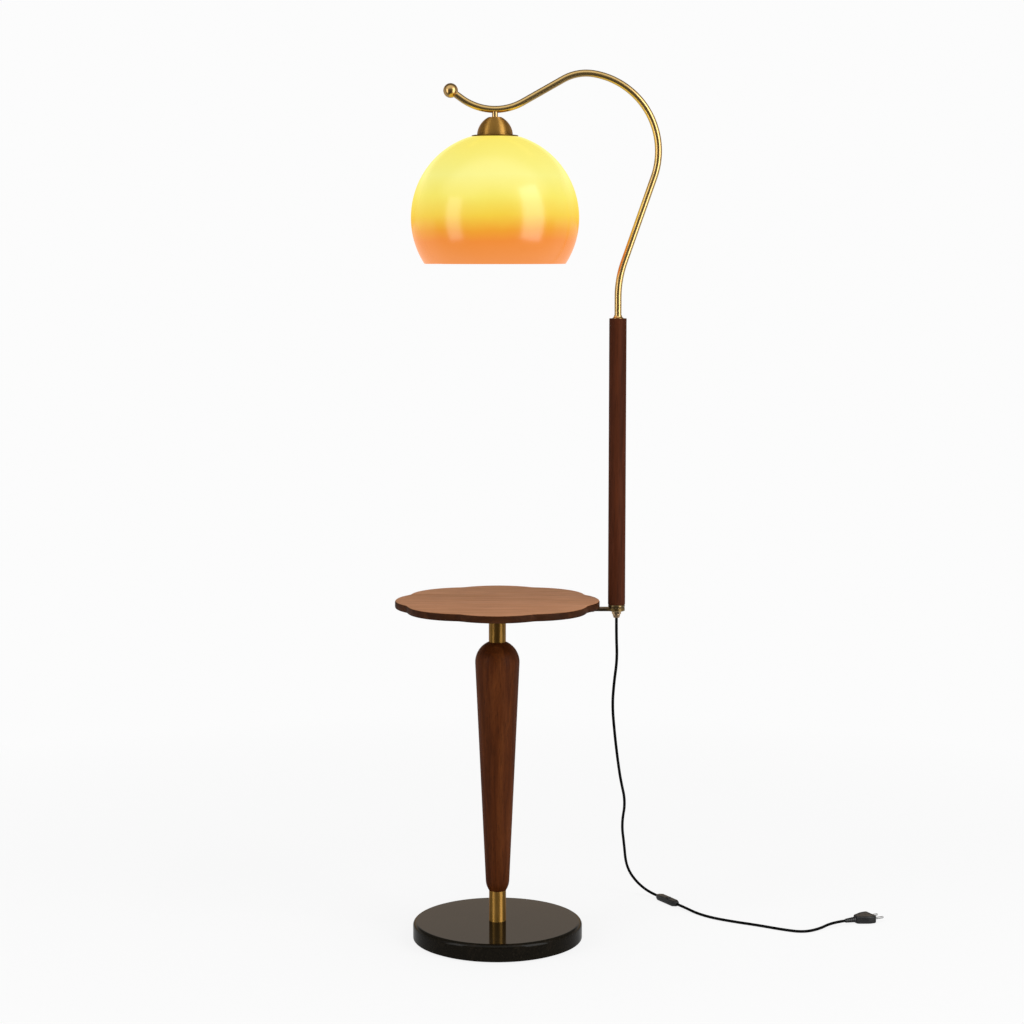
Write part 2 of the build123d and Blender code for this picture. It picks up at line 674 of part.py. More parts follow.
def arm_tube():
    """The swan-neck tube, with a hole in its dip for the lead."""
    tube = swept_tube(in_lamp_plane(ARM_RUNS + [ARM_TAIL]), ARM_RADIUS, ARM_BORE_RADIUS)
    return tube - at_shade(peg(NIPPLE_BORE_RADIUS, DIP_HEIGHT - ARM_DIAMETER, DIP_HEIGHT))


def ball_finial():
    """The ball that the end of the arm sits in."""
    tube_end = stood_up(ARM_TAIL @ 1)
    direction = stood_up(ARM_TAIL % 1)
    centre = tube_end + direction * (BALL_DIAMETER / 2 - BALL_SOCKET_DEPTH)
    socket = peg(ARM_RADIUS + THREAD_CLEARANCE, 0, BALL_DIAMETER)
    return Pos(centre) * Sphere(BALL_DIAMETER / 2) - Plane(origin=tube_end, z_dir=-direction) * socket


# Shade and lampholder

def shade_stem():
    """The short stem between the arm and the cup, hollowed to fit the arm."""
    stem = sleeve(STEM_DIAMETER / 2, NIPPLE_HOLE_RADIUS, CUP_TOP, DIP_HEIGHT - CUP_TOP)
    return at_shade(stem) - swept_bar(in_lamp_plane([ARM_RUNS[-1]]), ARM_RADIUS + SEAT_GAP)


def stem_nipple():
    """The threaded nipple that holds stem, cup and lampholder together."""
    height = CUP_TOP + STEM_GRIP - NIPPLE_BOTTOM
    return at_shade(sleeve(NIPPLE_RADIUS, NIPPLE_BORE_RADIUS, NIPPLE_BOTTOM, height))


def stem_locknut():
    """The locknut inside the cup."""
    return at_shade(Pos(0, 0, LOCKNUT_BOTTOM) * hex_nut(LOCKNUT_FLATS, LOCKNUT_HEIGHT, NIPPLE_HOLE_RADIUS))


def shade_cup():
    """The spun brass cup over the lampholder."""
    rim = (CUP_DIAMETER / 2, PLATE_TOP)
    side = (CUP_SIDE_DIAMETER / 2, PLATE_TOP + CUP_SIDE_HEIGHT)
    crest = (CUP_TOP_DIAMETER / 2, CUP_TOP)
    outside = ThreePointArc(rim, side, crest)
    centre = outside.edge().arc_center
    inner_radius = outside.edge().radius - CUP_WALL
    inner_top = CUP_TOP - CUP_WALL
    rim_across = centre.X + sqrt(inner_radius ** 2 - (PLATE_TOP - centre.Y) ** 2)
    crest_across = centre.X + sqrt(inner_radius ** 2 - (inner_top - centre.Y) ** 2)
    inner_rim = (rim_across, PLATE_TOP)
    inner_crest = (crest_across, inner_top)
    hole = NIPPLE_HOLE_RADIUS
    return at_shade(turned([
        outside,
        Line(crest, (hole, CUP_TOP)),
        Line((hole, CUP_TOP), (hole, inner_top)),
        Line((hole, inner_top), inner_crest),
        round_arc((centre.X, centre.Y), inner_radius, inner_crest, inner_rim),
        Line(inner_rim, rim),
    ]))


def shade_plate():
    """The flat brass plate between the cup and the glass."""
    return at_shade(sleeve(PLATE_DIAMETER / 2, SKIRT_RADIUS + HOLE_CLEARANCE, SHADE_TOP, PLATE_THICKNESS))


def glass_shade():
    """The blown glass ball, flattened on top, cut open below and with a fire-polished rim."""
    outer, inner, middle = SHADE_RADIUS, SHADE_RADIUS - SHADE_WALL, SHADE_RADIUS - SHADE_WALL / 2
    centre = (0, SHADE_TOP - sqrt(outer ** 2 - SHADE_FLAT_RADIUS ** 2))
    ceiling = SHADE_TOP - SHADE_WALL
    hole = SKIRT_RADIUS + SHADE_HOLE_CLEARANCE
    rim_drop = asin((centre[1] - SHADE_TOP + SHADE_DEPTH - SHADE_WALL / 2) / middle)

    def on_ball(radius, drop):
        return radius * cos(drop), centre[1] - radius * sin(drop)

    flat_edge = (SHADE_FLAT_RADIUS, SHADE_TOP)
    ceiling_edge = (sqrt(inner ** 2 - (ceiling - centre[1]) ** 2), ceiling)
    rim_out = on_ball(outer, rim_drop)
    rim_in = on_ball(inner, rim_drop)
    lip = on_ball(middle, rim_drop + SHADE_WALL / 2 / middle)
    return at_shade(turned([
        Line((hole, SHADE_TOP), flat_edge),
        round_arc(centre, outer, flat_edge, rim_out),
        ThreePointArc(rim_out, lip, rim_in),
        round_arc(centre, inner, rim_in, ceiling_edge),
        Line(ceiling_edge, (hole, ceiling)),
        Line((hole, ceiling), (hole, SHADE_TOP)),
    ]))


def lampholder_body():
    """The moulded lampholder: neck, wire chamber, shoulder on the plate and threaded skirt."""
    neck_radius = HOLDER_NECK_DIAMETER / 2
    body_radius = HOLDER_BODY_DIAMETER / 2
    body_top = LOCKNUT_BOTTOM - HOLDER_NECK_HEIGHT
    shoulder_top = PLATE_TOP + HOLDER_SHOULDER_THICKNESS
    body = fillet(peg(body_radius, PLATE_TOP, body_top).edges().group_by(Axis.Z)[-1], HOLDER_BODY_ROUND)
    body += peg(neck_radius, body_top, LOCKNUT_BOTTOM)
    body += peg(HOLDER_SHOULDER_DIAMETER / 2, PLATE_TOP, shoulder_top)
    body += peg(SKIRT_RADIUS, SKIRT_BOTTOM, PLATE_TOP)
    body -= peg(NIPPLE_HOLE_RADIUS, SOCKET_TOP, LOCKNUT_BOTTOM)
    body -= peg(HOLDER_CHAMBER_DIAMETER / 2, SOCKET_TOP, body_top - HOLDER_ROOF)
    return at_shade(body - peg(SOCKET_RADIUS, SKIRT_BOTTOM, SOCKET_TOP))


def lampholder_insert():
    """The ceramic block that carries the centre contact."""
    return at_shade(peg(SLEEVE_RADIUS, INSERT_BOTTOM, SOCKET_TOP))


def lampholder_sleeve():
    """The brass sleeve that the bulb screws into."""
    return at_shade(sleeve(SLEEVE_RADIUS, SLEEVE_BORE_RADIUS, INSERT_BOTTOM - SLEEVE_LENGTH, SLEEVE_LENGTH))


def lampholder_contact():
    """The centre contact."""
    return at_shade(peg(CONTACT_DIAMETER / 2, BULB_TOP, INSERT_BOTTOM))


def shade_ring():
    """The fluted ring that screws up the skirt and clamps the glass."""
    top = SHADE_TOP - SHADE_WALL
    ring = sleeve(RING_DIAMETER / 2, SKIRT_RADIUS + THREAD_CLEARANCE, top - RING_HEIGHT, RING_HEIGHT)
    for place in PolarLocations(RING_DIAMETER / 2, RING_FLUTES):
        ring -= place * peg(RING_FLUTE_RADIUS, top - RING_HEIGHT, top)
    return at_shade(ring)


def bulb_cap():
    """The bulb's metal screw cap and its tip."""
    tip_radius = BULB_TIP_DIAMETER / 2
    tip_bottom = BULB_TOP - BULB_TIP_HEIGHT
    return at_shade(turned_corners(
        (0, BULB_TOP),
        (tip_radius, BULB_TOP),
        (tip_radius, tip_bottom),
        (BULB_CAP_RADIUS, tip_bottom - BULB_CAP_CONE_HEIGHT),
        (BULB_CAP_RADIUS, BULB_CAP_BOTTOM),
        (0, BULB_CAP_BOTTOM),
    ))


def bulb_globe():
    """The bulb's glass: a neck that widens into a ball, open where the cap closes it."""
    ball_radius = BULB_DIAMETER / 2
    centre = (0, BULB_TOP - BULB_LENGTH + ball_radius)
    neck_height = BULB_CAP_BOTTOM - BULB_NECK_LENGTH

    def skin(inset):
        radius = ball_radius - inset
        mouth = (BULB_CAP_RADIUS - inset, BULB_CAP_BOTTOM)
        neck = (mouth[0], neck_height)
        cheek = touch_point(neck, centre[1], radius)
        pole = (0, centre[1] - radius)
        return mouth, pole, [
            Line(mouth, neck),
            Line(neck, cheek),
            round_arc(centre, radius, cheek, pole),
        ]

    outer_mouth, outer_pole, outer_edges = skin(0)
    inner_mouth, inner_pole, inner_edges = skin(BULB_WALL)
    ends = [Line(outer_mouth, inner_mouth), Line(outer_pole, inner_pole)]
    return at_shade(turned(outer_edges + inner_edges + ends))


def inner_lead():
    """The lead inside post and arm, from the cord to the lampholder."""
    runs = arm_runs(GRIP_BOTTOM, FALL_ANGLE - LEAD_TURN_START)
    turn_angle = 90 - LEAD_TURN_START
    turn_radius = ARM_DIP_RADIUS * tan(radians(LEAD_TURN_START)) / tan(radians(turn_angle) / 2)
    turn = JernArc(runs[-1] @ 1, runs[-1] % 1, turn_radius, turn_angle)
    drop = Line(turn @ 1, (SHADE_X, SOCKET_TOP))
    return swept_bar(in_lamp_plane(runs + [turn, drop]), LEAD_DIAMETER / 2)


# Inline switch, made along X on the floor and then laid in its place

SWITCH_PLACE = Location((SWITCH_CENTRE[0], SWITCH_CENTRE[1], 0), (0, 0, SWITCH_HEADING))
SWITCH_PARTING = SWITCH_HEIGHT / 2
SWITCH_CEILING = SWITCH_HEIGHT - SWITCH_WALL
ROCKER_PIN_RADIUS = ROCKER_PIN_DIAMETER / 2
CAVITY_HALF_WIDTH = SWITCH_WIDTH / 2 - SWITCH_WALL
CHEEK_INSIDE = ROCKER_WIDTH / 2 + ROCKER_WINDOW_CLEARANCE


def switch_box(length, width, bottom, top):
    """A plain block, centred on the switch."""
    block = Box(length, width, top - bottom, align=(Align.CENTER, Align.CENTER, Align.MIN))
    return Pos(0, 0, bottom) * block


def tapered_outline(full, end):
    """A long outline with tapered ends, across which full and end are the widths."""
    half_length = SWITCH_LENGTH / 2
    shoulder = half_length - SWITCH_TAPER_LENGTH
    corners = [
        (half_length, end / 2),
        (shoulder, full / 2),
        (-shoulder, full / 2),
        (-half_length, end / 2),
        (-half_length, -end / 2),
        (-shoulder, -full / 2),
        (shoulder, -full / 2),
        (half_length, -end / 2),
    ]
    return make_face(Polyline(*corners, close=True))


def switch_screw_places():
    """The two screw bosses, one at each end of the switch."""
    return [Pos(side * SWITCH_SCREW_SPACING / 2, 0, 0) for side in (-1, 1)]


def switch_shell():
    """The whole casing with its cavity, before it is parted into base and cover."""
    plan = extrude(tapered_outline(SWITCH_WIDTH, SWITCH_END_WIDTH), SWITCH_HEIGHT)
    upright = [edge for edge in plan.edges().filter_by(Axis.Z)
               if abs(edge.center().X) < SWITCH_LENGTH / 2 - SWITCH_TAPER_LENGTH / 2]
    plan = fillet(upright, SWITCH_CORNER_ROUND)
    side = Plane.XZ * tapered_outline(SWITCH_HEIGHT, SWITCH_END_HEIGHT)
    side = Pos(0, 0, SWITCH_PARTING) * extrude(side, SWITCH_WIDTH / 2, both=True)
    cavity = switch_box(SWITCH_CAVITY_LENGTH, 2 * CAVITY_HALF_WIDTH, SWITCH_WALL, SWITCH_CEILING)
    shell = (plan & side) - cavity
    for place in switch_screw_places():
        shell += place * peg(SWITCH_BOSS_DIAMETER / 2, SWITCH_WALL, SWITCH_CEILING)
    return shell


def switch_base():
    """The lower casing, with the two cheeks that the rocker's pins turn in."""
    half = switch_shell() & switch_box(SWITCH_LENGTH, SWITCH_WIDTH, 0, SWITCH_PARTING)
    cheek_width = CAVITY_HALF_WIDTH - CHEEK_INSIDE
    cheek_top = ROCKER_PIVOT_HEIGHT + ROCKER_CHEEK_TOP
    for side in (-1, 1):
        middle = side * (CHEEK_INSIDE + cheek_width / 2)
        half += Pos(0, middle, 0) * switch_box(ROCKER_CHEEK_LENGTH, cheek_width, SWITCH_WALL, cheek_top)
    half -= rocker_pin(ROCKER_PIN_RADIUS + RUNNING_CLEARANCE, 2 * CAVITY_HALF_WIDTH)
    for place in switch_screw_places():
        half -= place * peg(SWITCH_SCREW_DIAMETER / 2 + HOLE_CLEARANCE, 0, SWITCH_PARTING)
        head_top = SWITCH_SCREW_SINK + SWITCH_SCREW_HEAD_HEIGHT
        half -= place * peg(SWITCH_SCREW_HEAD_DIAMETER / 2 + HOLE_CLEARANCE, 0, head_top)
    return SWITCH_PLACE * half


def switch_cover():
    """The upper casing, with the window for the rocker."""
    half = switch_shell() & switch_box(SWITCH_LENGTH, SWITCH_WIDTH, SWITCH_PARTING, SWITCH_HEIGHT)
    reach = sqrt(ROCKER_RADIUS ** 2 - (SWITCH_CEILING - ROCKER_PIVOT_HEIGHT) ** 2)
    window_length = 2 * (reach + ROCKER_WINDOW_CLEARANCE)
    half -= switch_box(window_length, 2 * CHEEK_INSIDE, SWITCH_CEILING, SWITCH_HEIGHT)
    for place in switch_screw_places():
        half -= place * peg(SWITCH_SCREW_DIAMETER / 2 + THREAD_CLEARANCE, SWITCH_PARTING, SWITCH_CEILING)
    return SWITCH_PLACE * half


def rocker_pin(radius, length):
    """A bar across the switch at the rocker's pivot."""
    pin = Cylinder(radius, length, rotation=(90, 0, 0))
    return Pos(0, 0, ROCKER_PIVOT_HEIGHT) * pin


def switch_rocker():
    """The rocker, with ends rounded about its pins and a shallow V on top, tipped to its ON side."""
    reach = ROCKER_RADIUS
    wedge = make_face(Polyline(
        (-reach, -ROCKER_UNDERSIDE),
        (reach, -ROCKER_UNDERSIDE),
        (reach, ROCKER_TIP_RISE),
        (0, ROCKER_RISE),
        (-reach, ROCKER_TIP_RISE),
        close=True,
    ))
    side = Plane.XZ * (wedge & Circle(ROCKER_RADIUS))
    rocker = Pos(0, 0, ROCKER_PIVOT_HEIGHT) * extrude(side, ROCKER_WIDTH / 2, both=True)
    rocker += rocker_pin(ROCKER_PIN_RADIUS, 2 * (CAVITY_HALF_WIDTH - HOLE_CLEARANCE))
    pivot = Pos(0, 0, ROCKER_PIVOT_HEIGHT)
    tipped = pivot * Rot(0, -ROCKER_THROW / 2, 0) * pivot.inverse() * rocker
    return SWITCH_PLACE * tipped


def switch_contacts():
    """The two contact strips under the rocker."""
    strips = []
    strip_top = SWITCH_WALL + CONTACT_STRIP_THICKNESS
    for side in (-1, 1):
        middle = side * (CONTACT_STRIP_START + CONTACT_STRIP_LENGTH / 2)
        strip = switch_box(CONTACT_STRIP_LENGTH, CONTACT_STRIP_WIDTH, SWITCH_WALL, strip_top)
        strip = Pos(middle, 0, 0) * strip
        stud_place = Pos(side * (CONTACT_STRIP_START + CONTACT_STUD_DIAMETER), 0, 0)
        strip += stud_place * peg(CONTACT_STUD_DIAMETER / 2, SWITCH_WALL, strip_top + CONTACT_STUD_HEIGHT)
        strips.append(SWITCH_PLACE * strip)
    return strips


def switch_screws():
    """The two screws that hold the casing together, driven from below."""
    head_top = SWITCH_SCREW_SINK + SWITCH_SCREW_HEAD_HEIGHT
    screw = peg(SWITCH_SCREW_HEAD_DIAMETER / 2, SWITCH_SCREW_SINK, head_top)
    screw += peg(SWITCH_SCREW_DIAMETER / 2, head_top, SWITCH_CEILING - BLIND_HOLE_SPARE)
    return [SWITCH_PLACE * place * screw for place in switch_screw_places()]


# Plug, made along X with the end of its boot at the origin

PLUG_PLACE = Location((PLUG_END[0], PLUG_END[1], 0), (0, 0, PLUG_HEADING))
PLUG_AXIS_HEIGHT = PLUG_THICKNESS / 2
PLUG_FACE = BOOT_LENGTH + PLUG_LENGTH


def along_plug(y, start):
    """A place on a line along the plug at y, facing its pins."""
    return Plane(origin=(start, y, PLUG_AXIS_HEIGHT), z_dir=(1, 0, 0))


def plug_body():
    """The moulded plug: a flat grip that narrows to a tapered boot."""
    square_start = PLUG_FACE - PLUG_SQUARE_LENGTH
    outline = make_face(Polyline(
        (PLUG_FACE, PLUG_WIDTH / 2),
        (square_start, PLUG_WIDTH / 2),
        (BOOT_LENGTH, PLUG_BACK_WIDTH / 2),
        (BOOT_LENGTH, -PLUG_BACK_WIDTH / 2),
        (square_start, -PLUG_WIDTH / 2),
        (PLUG_FACE, -PLUG_WIDTH / 2),
        close=True,
    ))
    body = extrude(fillet(outline.vertices(), PLUG_CORNER_ROUND), PLUG_THICKNESS)
    long_edges = body.edges().group_by(Axis.Z)[0] + body.edges().group_by(Axis.Z)[-1]
    body = fillet(long_edges, PLUG_ROUND)
    boot = Cone(BOOT_TIP_DIAMETER / 2, BOOT_ROOT_DIAMETER / 2, BOOT_LENGTH,
                align=(Align.CENTER, Align.CENTER, Align.MIN))
    body += along_plug(0, 0) * boot
    for side in (-1, 1):
        hole = peg(PIN_DIAMETER / 2 + SEAT_GAP, 0, PIN_ROOT)
        body -= along_plug(side * PIN_SPACING / 2, PLUG_FACE - PIN_ROOT) * hole
    return PLUG_PLACE * body


def plug_pins():
    """The two round pins, seated in the body."""
    pin = peg(PIN_DIAMETER / 2, 0, PIN_ROOT + PIN_LENGTH)
    pin = fillet(pin.edges().group_by(Axis.Z)[-1], PIN_TIP_ROUND)
    start = PLUG_FACE - PIN_ROOT
    return [PLUG_PLACE * (along_plug(side * PIN_SPACING / 2, start) * pin) for side in (-1, 1)]


# Cord

def mains_cord_upper():
    """The cord from the gland down to the switch."""
    gland = (POST_OFFSET, 0, GRIP_BOTTOM)
    back = -SWITCH_LENGTH / 2
    run_in = [SWITCH_PLACE * Pos(x, 0, SWITCH_PARTING) for x in (back - CORD_RUN_INTO_SWITCH, back)]
    return cord_tube("mains_cord_upper", [gland] + CORD_FALL + [place.position for place in run_in])


def mains_cord_lower():
    """The cord from the switch along the floor to the plug."""
    front = SWITCH_LENGTH / 2
    run_out = [SWITCH_PLACE * Pos(x, 0, SWITCH_PARTING) for x in (front, front + CORD_RUN_OUT_OF_SWITCH)]
    run_in = [PLUG_PLACE * Pos(x, 0, PLUG_AXIS_HEIGHT) for x in (-CORD_RUN_INTO_PLUG, 0)]
    ends = [[place.position for place in run] for run in (run_out, run_in)]
    return cord_tube("mains_cord_lower", ends[0] + CORD_FLOOR + ends[1])


# Every node and the piece or pieces in it
NODES = {
    "base_pad": base_pad(),
    "base_disc": base_disc(),
    "base_nut": base_nut(),
    "base_washer": base_washer(),
    "tie_rod": tie_rod(),
    "lower_collar": collar(BASE_TOP),
    "leg": leg(),
    "upper_collar": collar(LEG_TOP),
    "table_flange": table_flange(),
    "flange_screws": flange_screws(),
    "table_top": table_top(),
    "post_bracket": post_bracket(),
    "bracket_screws": bracket_screws(),
    "swivel_washers": swivel_washers(),
    "post_foot_cap": post_foot_cap(),
    "wood_post": wood_post(),
    "post_tube": post_tube(),
    "gland_nut": gland_nut(),
    "cord_grip": cord_grip(),
    "arm_collar": arm_collar(),
    "arm_tube": arm_tube(),
    "ball_finial": ball_finial(),
    "shade_stem": shade_stem(),
    "stem_nipple": stem_nipple(),
    "stem_locknut": stem_locknut(),
    "shade_cup": shade_cup(),
    "shade_plate": shade_plate(),
    "glass_shade": glass_shade(),
    "lampholder_body": lampholder_body(),
    "lampholder_insert": lampholder_insert(),
    "lampholder_sleeve": lampholder_sleeve(),
    "lampholder_contact": lampholder_contact(),
    "shade_ring": shade_ring(),
    "bulb_cap": bulb_cap(),
    "bulb_globe": bulb_globe(),
    "inner_lead": inner_lead(),
    "mains_cord_upper": mains_cord_upper(),
    "mains_cord_lower": mains_cord_lower(),
    "switch_base": switch_base(),
    "switch_cover": switch_cover(),
    "switch_rocker": switch_rocker(),
    "switch_contacts": switch_contacts(),
    "switch_screws": switch_screws(),
    "plug_body": plug_body(),
    "plug_pins": plug_pins(),
}

os.makedirs("parts", exist_ok=True)
for name, piece in NODES.items():
    shapes = piece if isinstance(piece, list) else [piece]
    solids = [solid for shape in shapes for solid in shape.solids()]
    export_step(Compound(children=solids), f"parts/{name}.step")

print(f"shade axis at x {SHADE_X:.2f}, dip at z {DIP_HEIGHT:.2f}, shade top at z {SHADE_TOP:.2f}")
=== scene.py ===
# %% [markdown]
# # A shelf floor lamp
# A black stone foot carries a turned walnut leg, a scalloped walnut table and, on a bracket beside the
# table, a lamp head: a wooden post, a brass swan-neck tube and a lit glass globe. The shapes come from
# CAD as a frame of named nodes in metres. This lesson sets up the view and the studio, lays the cord,
# mixes the finishes and rebuilds the pieces that want finer detail than the CAD nodes have.

# %% Load the frame
from math import atan2, ceil, cos, pi, radians, sin

import bmesh
import bpy
from mathutils import Matrix, Vector


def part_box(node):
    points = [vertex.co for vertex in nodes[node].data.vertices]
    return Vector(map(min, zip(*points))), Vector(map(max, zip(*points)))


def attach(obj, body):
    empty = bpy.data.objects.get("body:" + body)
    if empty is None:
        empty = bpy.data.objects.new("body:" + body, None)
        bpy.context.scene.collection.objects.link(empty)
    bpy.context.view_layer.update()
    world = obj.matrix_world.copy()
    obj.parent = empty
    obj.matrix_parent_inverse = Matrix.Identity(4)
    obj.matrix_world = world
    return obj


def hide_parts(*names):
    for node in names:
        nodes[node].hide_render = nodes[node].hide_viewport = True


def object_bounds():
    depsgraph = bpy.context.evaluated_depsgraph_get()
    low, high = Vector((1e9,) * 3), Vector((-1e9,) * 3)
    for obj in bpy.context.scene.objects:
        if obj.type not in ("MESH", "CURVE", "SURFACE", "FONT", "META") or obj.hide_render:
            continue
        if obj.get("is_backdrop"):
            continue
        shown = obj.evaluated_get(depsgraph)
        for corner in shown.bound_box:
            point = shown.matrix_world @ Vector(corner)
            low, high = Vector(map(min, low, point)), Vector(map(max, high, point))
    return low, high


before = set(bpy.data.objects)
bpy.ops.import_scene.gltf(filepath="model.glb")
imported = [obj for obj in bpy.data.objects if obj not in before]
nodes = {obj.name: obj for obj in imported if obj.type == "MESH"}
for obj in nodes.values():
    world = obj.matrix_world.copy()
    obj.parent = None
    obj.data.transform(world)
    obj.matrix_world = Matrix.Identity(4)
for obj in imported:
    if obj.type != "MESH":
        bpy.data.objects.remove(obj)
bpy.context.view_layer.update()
scene = bpy.context.scene
MM = 0.001

# %% [markdown]
# ## The camera
# The photo looks slightly down from about four metres, level with the globe, so the table and the
# foot show as thin ellipses. The place and the lens were worked out from the sizes of those ellipses.
# The view transform is Standard, so a colour comes out as it is written.

# %% Camera
view = bpy.data.cameras.new("photo_view")
view.lens = 80.77
view.sensor_width = 36.0
camera = bpy.data.objects.new("photo_view", view)
camera.location = (0.02566, -3.97686, 1.20832)
camera.rotation_euler = (radians(83.593), 0, 0)
scene.collection.objects.link(camera)
scene.camera = camera
scene.view_settings.view_transform = "Standard"
print("camera", tuple(camera.location), "lens", view.lens)

# %% [markdown]
# ## The cord
# A round black flex leaves the gland under the post, falls behind the lamp and lies on the floor. An
# inline switch splits it in two, so there are two lengths. Each is one NURBS spline: its control points
# pull the line like a hand that lays the flex, and the curve stays smooth between them. The order is
# set after the points, because before that the spline has too few points to take it.

# %% Two lengths of flex
FLEX_RADIUS = 2.5 * MM
FALL = [
    (208.5, 0, 576), (208.5, 0, 543), (210.5, 6, 501), (205.5, 18, 456), (203.5, 34, 412),
    (209, 58, 357), (215.5, 86, 307), (222.5, 112, 261), (233.5, 143, 212), (228.5, 186, 160),
    (235.5, 228, 110), (240, 256, 69), (249, 268.5, 44), (263, 274.5, 24.5), (278, 273.2, 11.5),
    (292, 264.301, 5.25), (300.5, 249.579, 5.25),
]
RUN_OUT = [
    (333.5, 192.421, 5.25), (347.5, 168.172, 5.25), (364.5, 145, 2.5), (390, 115, 2.5), (429, 89, 2.5),
    (471.5, 66.5, 2.5), (511, 40.5, 2.5), (546, 24.5, 2.5), (577, 43, 2.5), (603.986, 68.236, 6.85),
    (629, 79.9, 6.85),
]


def laid_flex(name, route, node):
    """A length of flex along control points in millimetres, in place of its CAD node."""
    curve = bpy.data.curves.new(name, "CURVE")
    curve.dimensions = "3D"
    curve.bevel_depth = 1.0
    curve.bevel_resolution = 6
    curve.resolution_u = 16
    curve.use_fill_caps = True
    spline = curve.splines.new("NURBS")
    spline.points.add(len(route) - 1)
    for point, (x, y, z) in zip(spline.points, route):
        point.co = (x * MM, y * MM, z * MM, 1)
        point.radius = FLEX_RADIUS
    spline.order_u = 3
    spline.use_endpoint_u = True
    flex = bpy.data.objects.new(name, curve)
    scene.collection.objects.link(flex)
    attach(flex, "stand")
    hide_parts(node)
    print(name, "with", len(route), "control points")
    return flex


falling_flex = laid_flex("falling_flex", FALL, "mains_cord_upper")
floor_flex = laid_flex("floor_flex", RUN_OUT, "mains_cord_lower")

# %% [markdown]
# ## The studio
# The photo is a cut-out on near-white. A tall, wide soft box at the front right draws the long bright
# patch on the globe, a narrower one stands at the left, and one hangs overhead. Floor and world are
# near-white for the camera alone, and a soft grey room adds a little light. Reflections see a room of
# their own: dark behind the camera, brown low down behind the lamp, with a ceiling that is pale in front.
# That contrast gives bright metal its dark lines.

# %% Floor
PAPER = (0.973, 0.973, 0.973, 1)
paper = bpy.data.materials.new("paper_floor")
paper.use_nodes = True
tree = paper.node_tree
rays = tree.nodes.new("ShaderNodeLightPath")


def joined(kind, *links, **sockets):
    """A node in the current tree, with its first inputs linked and named ones set."""
    node = tree.nodes.new("ShaderNode" + kind)
    for source, socket in zip(links, node.inputs):
        tree.links.new(source, socket)
    for name, value in sockets.items():
        node.inputs[name.replace("_", " ")].default_value = value
    return node


seen = joined("Math", rays.outputs["Is Camera Ray"], rays.outputs["Is Transmission Ray"])
seen.operation = "MAXIMUM"
where = joined("TexCoord").outputs["Object"]
away = joined("VectorMath", where)
away.operation = "LENGTH"
flat = joined("MapRange", away.outputs["Value"], From_Min=0.7, From_Max=2.0, To_Min=0.88, To_Max=1.0)
share = joined("Math", seen.outputs[0], flat.outputs[0])
share.operation = "MULTIPLY"
matt = joined("BsdfDiffuse", Color=(0.86, 0.86, 0.86, 1))
white = joined("Emission", Color=PAPER)
lit = joined("MixShader", share.outputs[0], matt.outputs[0], white.outputs[0])
spot = joined("SeparateXYZ", where)
fade = joined("MapRange", spot.outputs["Y"], From_Min=-1.0, From_Max=0.6, To_Min=0.08, To_Max=0.5)
mirrored = joined("Emission", fade.outputs[0])
floor_shader = joined("MixShader", rays.outputs["Is Glossy Ray"], lit.outputs[0], mirrored.outputs[0])
tree.links.new(floor_shader.outputs[0], tree.nodes["Material Output"].inputs["Surface"])
bm = bmesh.new()
bmesh.ops.create_grid(bm, x_segments=1, y_segments=1, size=40)
floor_mesh = bpy.data.meshes.new("studio_floor")
bm.to_mesh(floor_mesh)
bm.free()
floor_mesh.materials.append(paper)
floor = bpy.data.objects.new("studio_floor", floor_mesh)
floor.location.z = -0.0005
scene.collection.objects.link(floor)
floor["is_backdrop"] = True
print("floor", floor.dimensions.x, "m wide")

# %% The room around it
room = bpy.data.worlds.new("studio_room")
scene.world = room
room.use_nodes = True
tree = room.node_tree
rays = tree.nodes.new("ShaderNodeLightPath")


def blended(factor, one, other):
    """Two colours mixed by a factor, in the current tree."""
    node = tree.nodes.new("ShaderNodeMix")
    node.data_type = "RGBA"
    for index, value in ((0, factor), (6, one), (7, other)):
        if isinstance(value, bpy.types.NodeSocket):
            tree.links.new(value, node.inputs[index])
        else:
            node.inputs[index].default_value = value
    return node.outputs[2]


aim = joined("SeparateXYZ", joined("TexCoord").outputs["Generated"])
dim = joined("MapRange", aim.outputs["Y"], From_Min=-0.6, From_Max=1.0, To_Min=0.07, To_Max=0.6)
front = joined("MapRange", aim.outputs["Y"], From_Min=-1.0, From_Max=-0.7)
low = joined("MapRange", aim.outputs["Z"], From_Min=0.4, From_Max=0.15)
back = joined("MapRange", aim.outputs["Y"], From_Min=0.5, From_Max=0.85)
panel = joined("Math", low.outputs[0], back.outputs[0])
panel.operation = "MULTIPLY"
above = joined("MapRange", aim.outputs["Z"], From_Min=0.32, From_Max=0.44)
ahead = joined("MapRange", aim.outputs["Y"], From_Min=0.1, From_Max=-0.2)
ceiling = blended(ahead.outputs[0], (0.15, 0.14, 0.13, 1), (0.95, 0.95, 0.95, 1))
level = joined("MapRange", aim.outputs["Z"], From_Min=0.24, From_Max=0.12)
behind = blended(level.outputs[0], (0.72, 0.48, 0.26, 1), (0.3, 0.19, 0.09, 1))
sides = joined("MapRange", aim.outputs["Y"], From_Min=0.5, From_Max=0.85, To_Min=0.34, To_Max=0.6)
wall = blended(panel.outputs[0], sides.outputs[0], behind)
wall = blended(above.outputs[0], wall, ceiling)
mirrored = blended(front.outputs[0], (0.08, 0.08, 0.08, 1), wall)
around = blended(rays.outputs["Is Glossy Ray"], dim.outputs[0], mirrored)
backdrop = blended(rays.outputs["Is Camera Ray"], around, PAPER)
tree.links.new(backdrop, tree.nodes["Background"].inputs["Color"])
print("room brightness from 0.07 in front to 0.6 behind")


